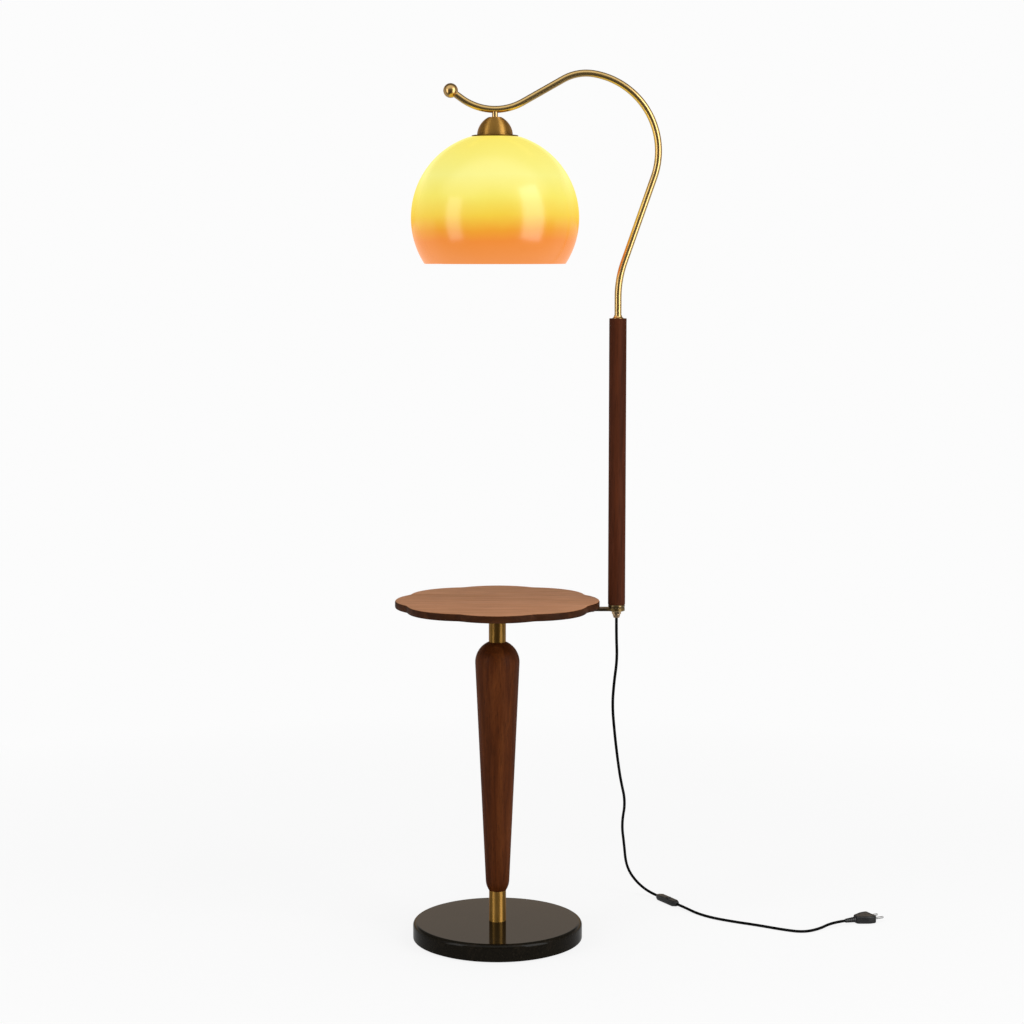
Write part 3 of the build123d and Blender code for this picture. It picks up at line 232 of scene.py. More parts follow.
# %% [markdown]
# ## Soft boxes
# A photographer sets the light on the wood and the shine on the metal with one box. Here each box is up
# to two lamps in one place: a gleam that shows in reflections, and a fill that doesn't. So both can be
# set apart, and the overhead box only fills.


# %% Gleam and fill
def soft_box(name, bearing, distance, middle, width, height, power, gleam, tip=90):
    """A soft box on a bearing in degrees from the camera's side towards +X. Tip 90 aims level, 0 down.

    Gleam is the share of its power that shows in reflections. The rest only fills."""
    for use, share in (("gleam", gleam), ("fill", 1 - gleam)):
        if share == 0:
            continue
        lamp = bpy.data.lights.new(name + "_" + use, "AREA")
        lamp.shape = "RECTANGLE"
        lamp.size = width
        lamp.size_y = height
        lamp.energy = power * share
        box = bpy.data.objects.new(name + "_" + use, lamp)
        box.location = (distance * sin(radians(bearing)), -distance * cos(radians(bearing)), middle)
        box.rotation_euler = (radians(tip), 0, radians(bearing))
        box.visible_glossy = use == "gleam"
        scene.collection.objects.link(box)
        print(name, use, "at", [round(v, 2) for v in box.location], round(power * share, 1), "W")


soft_box("right_soft_box", 53, 2.3, 1.6, 1.3, 3.0, power=63, gleam=0.52)
soft_box("left_soft_box", -57, 2.4, 1.2, 0.9, 2.2, power=33, gleam=0.38)
soft_box("overhead_soft_box", 0, 0.3, 3.4, 1.6, 1.6, power=44, gleam=0, tip=0)

# %% [markdown]
# ## Helpers for finishes
# Every finish starts from one Principled shader. The helper adds the few kinds of node that they share,
# so that a finish below reads as a recipe: where the pattern sits, what it looks like, what it changes.
# All patterns read Object coordinates, which are metres in the frame of the lamp.


# %% A finish and its nodes
class Finish:
    """A Principled material with short calls that add a node and wire it."""

    def __init__(self, name, **sockets):
        self.material = bpy.data.materials.new(name)
        self.material.use_nodes = True
        self.tree = self.material.node_tree
        self.shader = self.tree.nodes["Principled BSDF"]
        self.fill(self.shader, sockets)

    def fill(self, node, sockets):
        """Sets a node's sockets, by a link where the value is another node's output."""
        for name, value in sockets.items():
            socket = node.inputs[name.replace("_", " ")]
            if isinstance(value, bpy.types.NodeSocket):
                self.tree.links.new(value, socket)
            else:
                socket.default_value = value

    def add(self, kind, **sockets):
        """A new node of a kind, with its sockets set."""
        node = self.tree.nodes.new("ShaderNode" + kind)
        self.fill(node, sockets)
        return node

    def place(self, scale=(1, 1, 1), at=(0, 0, 0), own=None):
        """Object coordinates, or the piece's own attribute, moved and scaled."""
        if own:
            source = self.add("Attribute")
            source.attribute_name = own
            where = source.outputs["Vector"]
        else:
            where = self.add("TexCoord").outputs["Object"]
        return self.add("Mapping", Vector=where, Location=at, Scale=scale).outputs[0]

    def noise(self, vector, scale, detail=4, roughness=0.55, distortion=0):
        """Cloudy noise from about 0 to 1."""
        node = self.add("TexNoise", Vector=vector, Scale=scale, Detail=detail, Roughness=roughness)
        node.inputs["Distortion"].default_value = distortion
        return node.outputs[0]

    def ramp(self, factor, *stops):
        """Colours along a factor, given as (place, colour) pairs."""
        node = self.add("ValToRGB", Fac=factor)
        marks = node.color_ramp.elements
        while len(marks) < len(stops):
            marks.new(1)
        for mark, (spot, colour) in zip(marks, stops):
            mark.position = spot
            mark.color = (*colour, 1)
        return node.outputs["Color"]

    def span(self, factor, low, high, start=0.3, stop=0.7):
        """A factor stretched so that start becomes low and stop becomes high."""
        node = self.add("MapRange", Value=factor, From_Min=start, From_Max=stop, To_Min=low, To_Max=high)
        return node.outputs[0]

    def mix(self, factor, one, other, how="MIX"):
        """Two colours mixed by a factor."""
        node = self.add("Mix")
        node.data_type = "RGBA"
        node.blend_type = how
        for index, value in ((0, factor), (6, one), (7, other)):
            if isinstance(value, bpy.types.NodeSocket):
                self.tree.links.new(value, node.inputs[index])
            else:
                node.inputs[index].default_value = value
        return node.outputs[2]

    def math(self, how, one, other=0.0):
        """Arithmetic on two values."""
        node = self.add("Math")
        node.operation = how
        for socket, value in zip(node.inputs, (one, other)):
            if isinstance(value, bpy.types.NodeSocket):
                self.tree.links.new(value, socket)
            else:
                socket.default_value = value
        return node.outputs[0]

    def paint(self, **sockets):
        """Wires results into the shader."""
        self.fill(self.shader, sockets)

    def emboss(self, height, depth, strength=1.0):
        """Raises the surface where height is high, by depth in metres."""
        bump = self.add("Bump", Height=height, Distance=depth, Strength=strength)
        self.paint(Normal=bump.outputs[0])


def dress(finish, *names):
    """Puts a finish on CAD nodes that keep their shape."""
    for name in names:
        for slot in nodes[name].material_slots:
            slot.material = finish.material
    print(finish.material.name, "on", ", ".join(names))


# %% [markdown]
# ## Walnut
# Leg, table and post are lacquered walnut: a dark red-brown with long, slightly wavy bands, thin dark
# pores along the grain and a satin coat. Noise that is squeezed along one axis gives bands that run the
# other way, and a second, finer noise gives the pores. The pattern is solid, so it turns round the leg
# as real grain does where the lathe cuts through it.


# %% Walnut finishes
def walnut(name, along, dark, middle, light, gloss):
    """Lacquered walnut whose grain runs along one axis, 0 for X or 2 for Z."""
    wood = Finish(name, Specular_IOR_Level=0.08)
    squeeze = [1.0, 1.0, 1.0]
    squeeze[along] = 0.07
    hair = [1.0, 1.0, 1.0]
    hair[along] = 0.025
    bands = wood.noise(wood.place(scale=squeeze), 46, detail=5, roughness=0.6, distortion=0.9)
    streaks = wood.noise(wood.place(scale=squeeze, at=(0.3, 0.1, 0.2)), 190, detail=4)
    pores = wood.noise(wood.place(scale=hair), 900, detail=3, roughness=0.7)
    colour = wood.ramp(bands, (0.32, dark), (0.5, middle), (0.7, light))
    colour = wood.mix(wood.span(streaks, 0.0, 0.5), colour, (*dark, 1))
    pore_mask = wood.span(pores, 0.0, 0.75, start=0.55, stop=0.68)
    colour = wood.mix(pore_mask, colour, (*[channel * 0.45 for channel in dark], 1))
    wood.paint(Base_Color=colour, Roughness=wood.span(streaks, gloss - 0.05, gloss + 0.09))
    wood.emboss(wood.math("SUBTRACT", bands, pore_mask), 0.00012, 0.5)
    return wood


ALONG_X, ALONG_Z = 0, 2
leg_walnut = walnut(
    "leg_walnut", ALONG_Z, gloss=0.5,
    dark=(0.046, 0.0108, 0.0022), middle=(0.092, 0.022, 0.0042), light=(0.14, 0.038, 0.008),
)
post_walnut = walnut(
    "post_walnut", ALONG_Z, gloss=0.55,
    dark=(0.04, 0.01, 0.0033), middle=(0.07, 0.0165, 0.0055), light=(0.1, 0.0265, 0.01),
)
# The top's walnut is far lighter than the edge's. It is partly a lighter veneer and partly painted light from
# above, and the edge's walnut is partly a dark lipping and partly painted shade.
table_veneer_and_painted_light = walnut(
    "table_veneer_and_painted_light", ALONG_X, gloss=0.45,
    dark=(0.37, 0.166, 0.077), middle=(0.465, 0.216, 0.111), light=(0.535, 0.262, 0.145),
)
table_lipping_and_painted_shade = walnut(
    "table_lipping_and_painted_shade", ALONG_X, gloss=0.5,
    dark=(0.026, 0.0083, 0.0026), middle=(0.046, 0.0145, 0.0044), light=(0.08, 0.027, 0.0085),
)
dress(leg_walnut, "leg")
dress(post_walnut, "wood_post")

# %% [markdown]
# ## Brass
# The two collars and the cup are turned brass with a satin face: very fine rings left by the lathe and
# the abrasive. Noise stretched across and squeezed in height gives those rings on anything that was
# turned upright. The swan neck is a drawn and polished tube, so it is smoother and only faintly cloudy.
# The small fittings share that polish in tones of their own: a deeper one for ball and stem, an older,
# lacquered one for the cap under the post, a paler one for the gland and a brown one for the plate.

# %% Turned brass
turned_brass = Finish("turned_brass", Metallic=1.0, Anisotropic=0.95, Anisotropic_Rotation=0.25)
round_the_axis = turned_brass.add("Tangent")
round_the_axis.direction_type = "RADIAL"
round_the_axis.axis = "Z"
rings = turned_brass.noise(turned_brass.place(scale=(5, 5, 1500)), 1.0, detail=5, roughness=0.7)
tarnish = turned_brass.noise(turned_brass.place(), 38, detail=5)
colour = turned_brass.ramp(tarnish, (0.3, (0.52, 0.285, 0.063)), (0.7, (0.62, 0.35, 0.09)))
colour = turned_brass.mix(turned_brass.span(rings, 0.0, 0.3), colour, (0.43, 0.21, 0.038, 1))
turned_brass.paint(Base_Color=colour, Roughness=turned_brass.span(rings, 0.44, 0.54))
turned_brass.paint(Tangent=round_the_axis.outputs[0])
turned_brass.emboss(rings, 0.00002, 0.4)
dress(turned_brass, "lower_collar", "upper_collar", "shade_cup")


# %% Drawn and polished brass
def polished_brass(name, deep, pale, lines, own=None, **sockets):
    """Smooth brass with faint lines across the axes of high scale."""
    brass = Finish(name, Metallic=1.0, **sockets)
    drawing = brass.noise(brass.place(scale=lines, own=own), 1.0, detail=2)
    clouds = brass.noise(brass.place(own=own), 30, detail=3)
    brass.paint(Base_Color=brass.ramp(clouds, (0.3, deep), (0.7, pale)))
    brass.paint(Roughness=brass.span(drawing, 0.22, 0.27))
    brass.emboss(drawing, 0.000001, 0.3)
    return brass


DRAWN, TURNED = (500, 500, 4), (30, 30, 500)
neck_brass = polished_brass("neck_brass", (0.7, 0.465, 0.175), (0.8, 0.545, 0.22), DRAWN, own="straight")
ball_brass = polished_brass("ball_brass", (0.62, 0.39, 0.145), (0.72, 0.47, 0.19), TURNED)
aged_brass = polished_brass("aged_brass", (0.2, 0.13, 0.045), (0.28, 0.185, 0.07), TURNED, Coat_Weight=0.5)
gland_brass = polished_brass("gland_brass", (0.68, 0.47, 0.26), (0.78, 0.55, 0.32), TURNED)
edge_brass = polished_brass("edge_brass", (0.15, 0.08, 0.014), (0.21, 0.115, 0.024), TURNED)
dress(ball_brass, "ball_finial", "shade_stem", "arm_collar")
dress(aged_brass, "post_foot_cap")
dress(gland_brass, "gland_nut", "cord_grip")

# %% [markdown]
# ## Painted shade on the bracket, steel and bright metal
# The bracket is a flat bar that runs under the table. Its dark colour is painted shade for the table's shadow
# on it. Rod, nuts, flange and screws are plain zinc-plated steel, and the bulb cap is bright aluminium. They
# share one recipe: a metal with short brushing lines and a cloudy roughness. At its eye, out from under the
# table, the bracket is paler, so its colour changes there.


# %% Plain metals
def plain_metal(name, deep, pale, smooth, rough, lines=(40, 900, 900)):
    """A metal with brushing lines across the axes of high scale."""
    metal = Finish(name, Metallic=1.0)
    brushing = metal.noise(metal.place(scale=lines), 1.0, detail=4)
    clouds = metal.noise(metal.place(), 55, detail=5)
    metal.paint(Base_Color=metal.ramp(clouds, (0.3, deep), (0.7, pale)))
    metal.paint(Roughness=metal.span(metal.math("MULTIPLY", brushing, clouds), smooth, rough, 0.1, 0.45))
    metal.emboss(brushing, 0.00002, 0.5)
    return metal


# The bracket's dark colour is painted shade: the table's shadow over the bar.
shaded_bracket = plain_metal("bracket_painted_shade", (0.13, 0.085, 0.045), (0.21, 0.14, 0.075), 0.3, 0.48)
zinc_steel = plain_metal("zinc_steel", (0.42, 0.43, 0.44), (0.58, 0.58, 0.57), 0.26, 0.42)
bright_cap = plain_metal("bright_cap", (0.6, 0.6, 0.6), (0.74, 0.74, 0.73), 0.18, 0.3, (900, 900, 60))
spring_brass = plain_metal("spring_brass", (0.6, 0.43, 0.18), (0.74, 0.56, 0.28), 0.2, 0.34)
# Past the table's edge, at the eye, the bar's painted shade gives way to a paler brass.
EYE_START, EYE_FULL = 0.19, 0.194
length = shaded_bracket.add("SeparateXYZ", Vector=shaded_bracket.place()).outputs["X"]
bar = shaded_bracket.shader.inputs["Base Color"].links[0].from_socket
at_eye = shaded_bracket.span(length, 0, 1, EYE_START, EYE_FULL)
shaded_bracket.paint(Base_Color=shaded_bracket.mix(at_eye, bar, (0.26, 0.17, 0.065, 1)))
dress(shaded_bracket, "post_bracket")
dress(zinc_steel, "base_nut", "base_washer", "tie_rod", "table_flange", "switch_screws")
dress(zinc_steel, "post_tube", "stem_nipple", "stem_locknut")
dress(bright_cap, "bulb_cap", "lampholder_sleeve", "plug_pins")
dress(spring_brass, "lampholder_contact", "switch_contacts")

# %% [markdown]
# ## Stone and felt
# The foot is a black stone, ground flat and polished until it mirrors the collar. Up close it has tiny
# grey crystals and a few paler veins, and the polish is a little uneven. A felt pad under it is soft
# and matt, with fibres that lie every way.

# %% Black stone
black_stone = Finish("black_stone", Specular_IOR_Level=0.12)
crystals = black_stone.add("TexVoronoi", Vector=black_stone.place(), Scale=620).outputs["Color"]
crystals = black_stone.add("RGBToBW", Color=crystals).outputs[0]
veins = black_stone.noise(black_stone.place(), 9, detail=8, roughness=0.62, distortion=1.6)
colour = black_stone.ramp(
    crystals,
    (0.0, (0.004, 0.003, 0.002)),
    (0.86, (0.009, 0.007, 0.004)),
    (1.0, (0.028, 0.022, 0.015)),
)
colour = black_stone.mix(black_stone.span(veins, 0.0, 0.3, 0.56, 0.6), colour, (0.018, 0.013, 0.008, 1))
black_stone.paint(Base_Color=colour, Roughness=black_stone.span(veins, 0.05, 0.1))
black_stone.emboss(veins, 0.00004, 0.15)
dress(black_stone, "base_disc")

# %% Felt
felt = Finish("felt", Roughness=0.95, Sheen_Weight=0.4)
fibres = felt.noise(felt.place(), 1800, detail=3, distortion=2.5)
felt.paint(Base_Color=felt.ramp(fibres, (0.3, (0.012, 0.012, 0.012)), (0.75, (0.06, 0.06, 0.058))))
felt.emboss(fibres, 0.0004)
dress(felt, "base_pad")

# %% [markdown]
# ## Lit glass
# The globe is cased opal glass: a white layer inside, a coloured one outside, lemon at the top and
# orange at the open rim. With the bulb on, the glass glows by itself, so the colour goes into the
# emission as well as the base. The distance from the centre of the globe tells the inside from the
# outside, and the height drives the colour. Places and sizes here are in millimetres.

# %% The globe's finish
GLOBE_AXIS = -3.46
GLOBE_CENTRE = 1269.63
GLOBE_RADIUS = 144.5
GLOBE_WALL = 4.0
GLOBE_RIM, GLOBE_TOP = 1191.5, 1407.3
opal = Finish("opal_glass", Roughness=0.19, Specular_IOR_Level=0.68, Emission_Strength=0.84)
height = opal.add("SeparateXYZ", Vector=opal.place()).outputs["Z"]
ripple = opal.noise(opal.place(), 14, detail=3)
height = opal.span(height, 0, 1, GLOBE_RIM * MM, GLOBE_TOP * MM)
height = opal.math("ADD", height, opal.span(ripple, -0.012, 0.012))
outside = opal.ramp(
    height,
    (0.0, (0.92, 0.31, 0.08)),
    (0.18, (0.92, 0.28, 0.04)),
    (0.26, (0.92, 0.37, 0.03)),
    (0.38, (0.95, 0.65, 0.06)),
    (0.52, (0.95, 0.82, 0.13)),
    (0.69, (0.95, 0.89, 0.24)),
    (1.0, (0.96, 0.81, 0.13)),
)
from_centre = opal.place(at=(-GLOBE_AXIS * MM, 0, -GLOBE_CENTRE * MM))
reach = opal.add("VectorMath")
reach.operation = "LENGTH"
opal.tree.links.new(from_centre, reach.inputs[0])
on_outside = opal.math("GREATER_THAN", reach.outputs["Value"], (GLOBE_RADIUS - GLOBE_WALL / 2) * MM)
# Inside, the glow is painted light. It is brightest at the bulb's height and dimmer towards the rim and the
# top, as the bulb's light falls on the white layer.
inside = opal.ramp(
    height,
    (0.0, (0.82, 0.64, 0.36)),
    (0.5, (0.98, 0.82, 0.52)),
    (1.0, (0.8, 0.62, 0.36)),
)
colour = opal.mix(on_outside, inside, outside)
opal.paint(Emission_Color=colour)
opal.paint(Base_Color=opal.mix(1.0, colour, (0.12, 0.12, 0.12, 1), "MULTIPLY"))
opal.emboss(ripple, 0.0004, 0.2)
dress(opal, "glass_shade")

# %% The bulb's finish
frosted = Finish("frosted_bulb", Roughness=0.35, Emission_Strength=1.6)
frost = frosted.noise(frosted.place(), 900, detail=2)
glow = frosted.noise(frosted.place(), 20, detail=2)
frosted.paint(Emission_Color=frosted.ramp(glow, (0.3, (1.0, 0.7, 0.36)), (0.7, (1.0, 0.8, 0.5))))
frosted.paint(Base_Color=frosted.ramp(glow, (0.3, (0.86, 0.84, 0.8)), (0.7, (0.93, 0.92, 0.9))))
frosted.emboss(frost, 0.00003)
dress(frosted, "bulb_globe")

# %% [markdown]
# ## Plastics, ceramic and the flex
# Lampholder, switch and plug are moulded black plastic with a fine spark-eroded grain. The flex has a
# smoother skin with a faint flow pattern. The washers are nylon, tinted to go with the brass beside
# them, and the insert is unglazed porcelain.


# %% Moulded finishes
def moulded(name, deep, pale, gloss, grain_scale, depth, **sockets):
    """A moulded or fired face: two close tones, an even gloss and a fine grain."""
    skin = Finish(name, **sockets)
    clouds = skin.noise(skin.place(), 60, detail=4)
    grain = skin.noise(skin.place(), grain_scale, detail=2)
    skin.paint(Base_Color=skin.ramp(clouds, (0.3, deep), (0.7, pale)))
    skin.paint(Roughness=skin.span(clouds, gloss - 0.06, gloss + 0.08))
    skin.emboss(grain, depth, 0.5)
    return skin


black_moulding = moulded("black_moulding", (0.010, 0.010, 0.010), (0.016, 0.016, 0.016), 0.36, 2600, 0.00004)
flex_skin = moulded(
    "flex_skin", (0.0015, 0.0015, 0.0015), (0.003, 0.003, 0.003), 0.55, 900, 0.00001, Specular_IOR_Level=0.06,
)
lead_skin = moulded("lead_skin", (0.5, 0.5, 0.48), (0.62, 0.62, 0.6), 0.45, 1200, 0.00003)
nylon = moulded("nylon", (0.36, 0.26, 0.13), (0.44, 0.33, 0.18), 0.5, 1500, 0.00003)
porcelain = moulded("porcelain", (0.74, 0.72, 0.67), (0.85, 0.83, 0.79), 0.55, 1900, 0.00005)
dress(black_moulding, "lampholder_body", "shade_ring", "switch_rocker")
dress(nylon, "swivel_washers")
dress(porcelain, "lampholder_insert")
dress(lead_skin, "inner_lead")
for flex in (falling_flex, floor_flex):
    flex.data.materials.append(flex_skin.material)

# %% [markdown]
# ## Helpers for meshes
# A new piece starts as a bmesh. When its shape is done, doubled points are merged, the faces are turned
# outwards, and it becomes an object that rides on a body of the frame and stands for the CAD nodes that
# it was made after. Faces are smooth, except over edges sharper than a limit.


# %% From bmesh to piece
def finished(bm, name, body, finishes, stands_for, limit=40):
    """Turns a bmesh into a piece on a body, in place of CAD nodes."""
    bmesh.ops.remove_doubles(bm, verts=bm.verts[:], dist=0.002 * MM)
    bmesh.ops.recalc_face_normals(bm, faces=bm.faces[:])
    mesh = bpy.data.meshes.new(name)
    bm.to_mesh(mesh)
    bm.free()
    mesh.shade_smooth()
    mesh.set_sharp_from_angle(angle=radians(limit))
    for finish in finishes:
        mesh.materials.append(finish.material)
    piece = bpy.data.objects.new(name, mesh)
    scene.collection.objects.link(piece)
    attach(piece, body)
    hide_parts(*stands_for)
    print(name, "has", len(mesh.polygons), "faces")
    return piece


def verts_of(geometry):
    """The vertices among what an operator returns."""
    return [item for item in geometry if isinstance(item, bmesh.types.BMVert)]


def edges_of(geometry):
    """The edges among what an operator returns."""
    return [item for item in geometry if isinstance(item, bmesh.types.BMEdge)]


# %% [markdown]
# ## The swan neck
# The real tube is bent cold on a mandrel: straight runs with bends of one radius each. The mesh is made
# the same way. A ring of points is pushed along each run and turned about the centre of each bend. On
# the way every ring notes where it would lie in the straight tube, so that the drawing lines follow the
# bends. Object coordinates couldn't do that, because they don't bend.

# %% Bend the tube
NECK_RADIUS = 6.0
NECK_FOOT = (208.5, 1098.0)
NECK_RUNS = [
    (37.0, 0, 0), (0, 180.0, -19.25), (153.0, 0, 0), (0, 133.0, 99.5), (0, 81.0, 39.0),
    (78.5, 0, 0), (0, 97.5, -65.0), (18.5, 0, 0),
]
STEP_ANGLE = 2.5
bm = bmesh.new()
straight = bm.verts.layers.float_vector.new("straight")
x, z = NECK_FOOT
foot = Matrix.Translation((x * MM, 0, z * MM))
bmesh.ops.create_circle(bm, segments=32, radius=NECK_RADIUS * MM, matrix=foot)
ring = bm.edges[:]
for vert in bm.verts:
    vert[straight] = (vert.co.x - x * MM, vert.co.y, 0)
heading, along = 90.0, 0.0
for run, radius, turn in NECK_RUNS:
    steps = max(1, ceil(abs(turn) / STEP_ANGLE))
    side = 1 if turn > 0 else -1
    for _ in range(steps):
        angle = radians(heading)
        if run:
            made = bmesh.ops.extrude_edge_only(bm, edges=ring)["geom"]
            push = Vector((run * cos(angle) * MM, 0, run * sin(angle) * MM))
            bmesh.ops.translate(bm, verts=verts_of(made), vec=push)
            x, z = x + run * cos(angle), z + run * sin(angle)
            along += run
        else:
            cx, cz = x - side * radius * sin(angle), z + side * radius * cos(angle)
            made = bmesh.ops.spin(
                bm, geom=ring + list({vert for edge in ring for vert in edge.verts}), steps=1,
                cent=(cx * MM, 0, cz * MM), axis=(0, -1, 0), angle=radians(turn / steps),
            )["geom_last"]
            heading += turn / steps
            angle = radians(heading)
            x, z = cx + side * radius * sin(angle), cz - side * radius * cos(angle)
            along += radius * radians(abs(turn) / steps)
        ring = [edge for edge in edges_of(made) if edge.is_boundary]
        for vert in {vert for edge in ring for vert in edge.verts}:
            vert[straight] = (vert[straight].x, vert[straight].y, along * MM)
bmesh.ops.holes_fill(bm, edges=[edge for edge in bm.edges if edge.is_boundary])
print("tube of", round(along), "mm ends at", round(x, 1), round(z, 1))
finished(bm, "swan_neck", "lamp_head", [neck_brass], ["arm_tube"])

# %% [markdown]
# ## The plate under the cup
# A thin spun plate carries the globe. Its rim is rolled over, which stiffens the sheet and hides the cut
# edge, and seen from the front that bead is a dark line under the cup. Half of its section is drawn as a
# closed outline, three corners are rounded with a bevel, and a full spin makes the plate.

# %% Spin the plate
low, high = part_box("shade_plate")
axis = (low + high) / 2
PLATE_RADIUS, PLATE_HOLE, BEAD = (high.x - low.x) / 2, 20.0 * MM, 2.8 * MM
ROLL = 0.46 * BEAD
section = [
    (PLATE_HOLE, low.z), (PLATE_RADIUS, low.z), (PLATE_RADIUS, low.z + BEAD),
    (PLATE_RADIUS - BEAD, low.z + BEAD), (PLATE_RADIUS - BEAD, high.z), (PLATE_HOLE, high.z),
]
bm = bmesh.new()
pen = [bm.verts.new((axis.x + reach, axis.y, height)) for reach, height in section]
for pair in zip(pen, pen[1:] + pen[:1]):
    bm.edges.new(pair)
bmesh.ops.bevel(
    bm, geom=pen[1:4], offset=ROLL, segments=5, profile=0.5, affect="VERTICES", material=-1,
)
bmesh.ops.spin(
    bm, geom=bm.verts[:] + bm.edges[:], cent=(axis.x, axis.y, 0), axis=(0, 0, 1), angle=2 * pi,
    steps=96, use_merge=True,
)
print("plate of radius", round(PLATE_RADIUS / MM, 1), "mm")
finished(bm, "rolled_plate", "lamp_head", [edge_brass], ["shade_plate"])

# %% [markdown]
# ## The table top
# The top is a board with eight lobes. One lobe and one notch are drawn by swinging a point about two centres,
# and the pair is repeated round the axis. The outline is filled, raised to the board's thickness and
# bevelled. Faces that look up get a light walnut and the rest get a dark one. This is partly a veneered top
# with a dark lipping and partly painted light. The top is painted lighter for the light that falls on it from
# above. The light walnut carried over the upper half of the rounded edge is a painted highlight, and the dark
# edge is partly painted shade.

# %% Cut the board
BOARD_RADIUS, BOARD_LOW, BOARD_HIGH = 179.0, 593.5, 607.0
LOBES, NOTCH_DEPTH, NOTCH_RADIUS = 8, 9.5, 27.0
BOARD_ROUND = 3.0


def swing(bm, vert, centre, turn, steps):
    """Swings a point about a centre in millimetres, which leaves an arc of edges. Returns its end."""
    middle = (centre[0] * MM, centre[1] * MM, vert.co.z)
    made = bmesh.ops.spin(bm, geom=[vert], cent=middle, axis=(0, 0, 1), angle=turn, steps=steps)
    return verts_of(made["geom_last"])[0]


half = pi / LOBES
notch_reach = BOARD_RADIUS - NOTCH_DEPTH + NOTCH_RADIUS
spread = 2 * notch_reach * cos(half)
lobe_radius = notch_reach ** 2 + BOARD_RADIUS ** 2 - spread * BOARD_RADIUS - NOTCH_RADIUS ** 2
lobe_radius /= 2 * (BOARD_RADIUS + NOTCH_RADIUS) - spread
lobe_centre = (BOARD_RADIUS - lobe_radius, 0)
notch_centre = (notch_reach * cos(half), notch_reach * sin(half))
lean = atan2(notch_centre[1], notch_centre[0] - lobe_centre[0])
bm = bmesh.new()
start = Vector((lobe_centre[0] + lobe_radius * cos(lean), -lobe_radius * sin(lean), BOARD_LOW)) * MM
tip = swing(bm, bm.verts.new(start), lobe_centre, 2 * lean, 24)
swing(bm, tip, notch_centre, -2 * (lean - half), 10)
bmesh.ops.spin(
    bm, geom=bm.verts[:] + bm.edges[:], cent=(0, 0, 0), axis=(0, 0, 1),
    angle=2 * pi * (LOBES - 1) / LOBES, steps=LOBES - 1, use_duplicate=True,
)
bmesh.ops.remove_doubles(bm, verts=bm.verts[:], dist=0.01 * MM)
underside = bmesh.ops.contextual_create(bm, geom=bm.edges[:])["faces"]
raised = bmesh.ops.extrude_face_region(bm, geom=underside)["geom"]
bmesh.ops.translate(bm, verts=verts_of(raised), vec=(0, 0, (BOARD_HIGH - BOARD_LOW) * MM))
bmesh.ops.recalc_face_normals(bm, faces=bm.faces[:])
rims = [edge for edge in bm.edges if edge.calc_face_angle() > radians(60)]
bmesh.ops.bevel(
    bm, geom=rims, offset=BOARD_ROUND * MM, segments=4, profile=0.5, affect="EDGES", material=-1,
)
# Faces that look up take the light walnut: painted light on the top and a painted highlight on the upper half
# of the rounded edge. The sideways faces take the dark walnut, which is partly painted shade.
for face in bm.faces:
    face.material_index = 0 if face.normal.z > 0.7 else 1
print("lobes of radius", round(lobe_radius, 1), "mm")
finished(
    bm, "table_board", "stand", [table_veneer_and_painted_light, table_lipping_and_painted_shade], ["table_top"], limit=30,
)

# %% [markdown]
# ## The switch case
# The inline switch is two moulded halves that meet in a thin groove, with tapered ends where the flex
# goes in and a window for the rocker. A block is cut across near its ends so that they can be squeezed,
# its corners are rounded with a bevel, the groove is an inset belt, and the window is a face pushed in.

# %% Mould the case
CASE = (66.0, 14.0, 10.5)
CASE_END = (8.0, 7.6)
CASE_WAIST, CASE_ROUND = 24, 1.5
GROOVE_HALF, GROOVE_LIP, GROOVE_DEPTH = 0.2, 0.06, 0.35
WINDOW, WINDOW_DEPTH = (14.6, 7.9), 8.2
CASE_PLACE, CASE_HEADING = (317.0, 221.0), -60
bm = bmesh.new()
bmesh.ops.create_cube(bm, size=1, matrix=Matrix.Diagonal([side * MM for side in CASE] + [1]))


def cut(bm, point, normal):
    """Cuts every face of a bmesh along a plane, with the point in millimetres."""
    everything = bm.verts[:] + bm.edges[:] + bm.faces[:]
    bmesh.ops.bisect_plane(bm, geom=everything, plane_co=Vector(point) * MM, plane_no=normal)


for x in (-CASE_WAIST, CASE_WAIST):
    cut(bm, (x, 0, 0), (1, 0, 0))
ends = [vert for vert in bm.verts if abs(vert.co.x) > 30 * MM]
bmesh.ops.scale(bm, verts=ends, vec=(1, CASE_END[0] / CASE[1], CASE_END[1] / CASE[2]))
corners = [edge for edge in bm.edges if edge.calc_face_angle() > radians(30)]
bmesh.ops.bevel(
    bm, geom=corners, offset=CASE_ROUND * MM, segments=4, profile=0.5, affect="EDGES", material=-1,
)
for z in (-GROOVE_HALF, GROOVE_HALF):
    cut(bm, (0, 0, z), (0, 0, 1))
belt = [face for face in bm.faces if abs(face.calc_center_median().z) < GROOVE_HALF / 2 * MM]
bmesh.ops.inset_region(
    bm, faces=belt, thickness=GROOVE_LIP * MM, depth=-GROOVE_DEPTH * MM, use_even_offset=True,
)
for side in (-0.5, 0.5):
    cut(bm, (side * WINDOW[0], 0, 0), (1, 0, 0))
    cut(bm, (0, side * WINDOW[1], 0), (0, 1, 0))
window = [
    face for face in bm.faces
    if face.normal.z > 0.9 and abs(face.calc_center_median().x) < WINDOW[0] * MM / 2
    and abs(face.calc_center_median().y) < WINDOW[1] * MM / 2 and face.calc_center_median().z > 5 * MM
]
pushed = bmesh.ops.extrude_face_region(bm, geom=window)["geom"]
bmesh.ops.translate(bm, verts=verts_of(pushed), vec=(0, 0, -WINDOW_DEPTH * MM))
lay_down = Matrix.Translation(Vector((*CASE_PLACE, CASE[2] / 2)) * MM)
lay_down @= Matrix.Rotation(radians(CASE_HEADING), 4, "Z")
bmesh.ops.transform(bm, matrix=lay_down, verts=bm.verts[:])
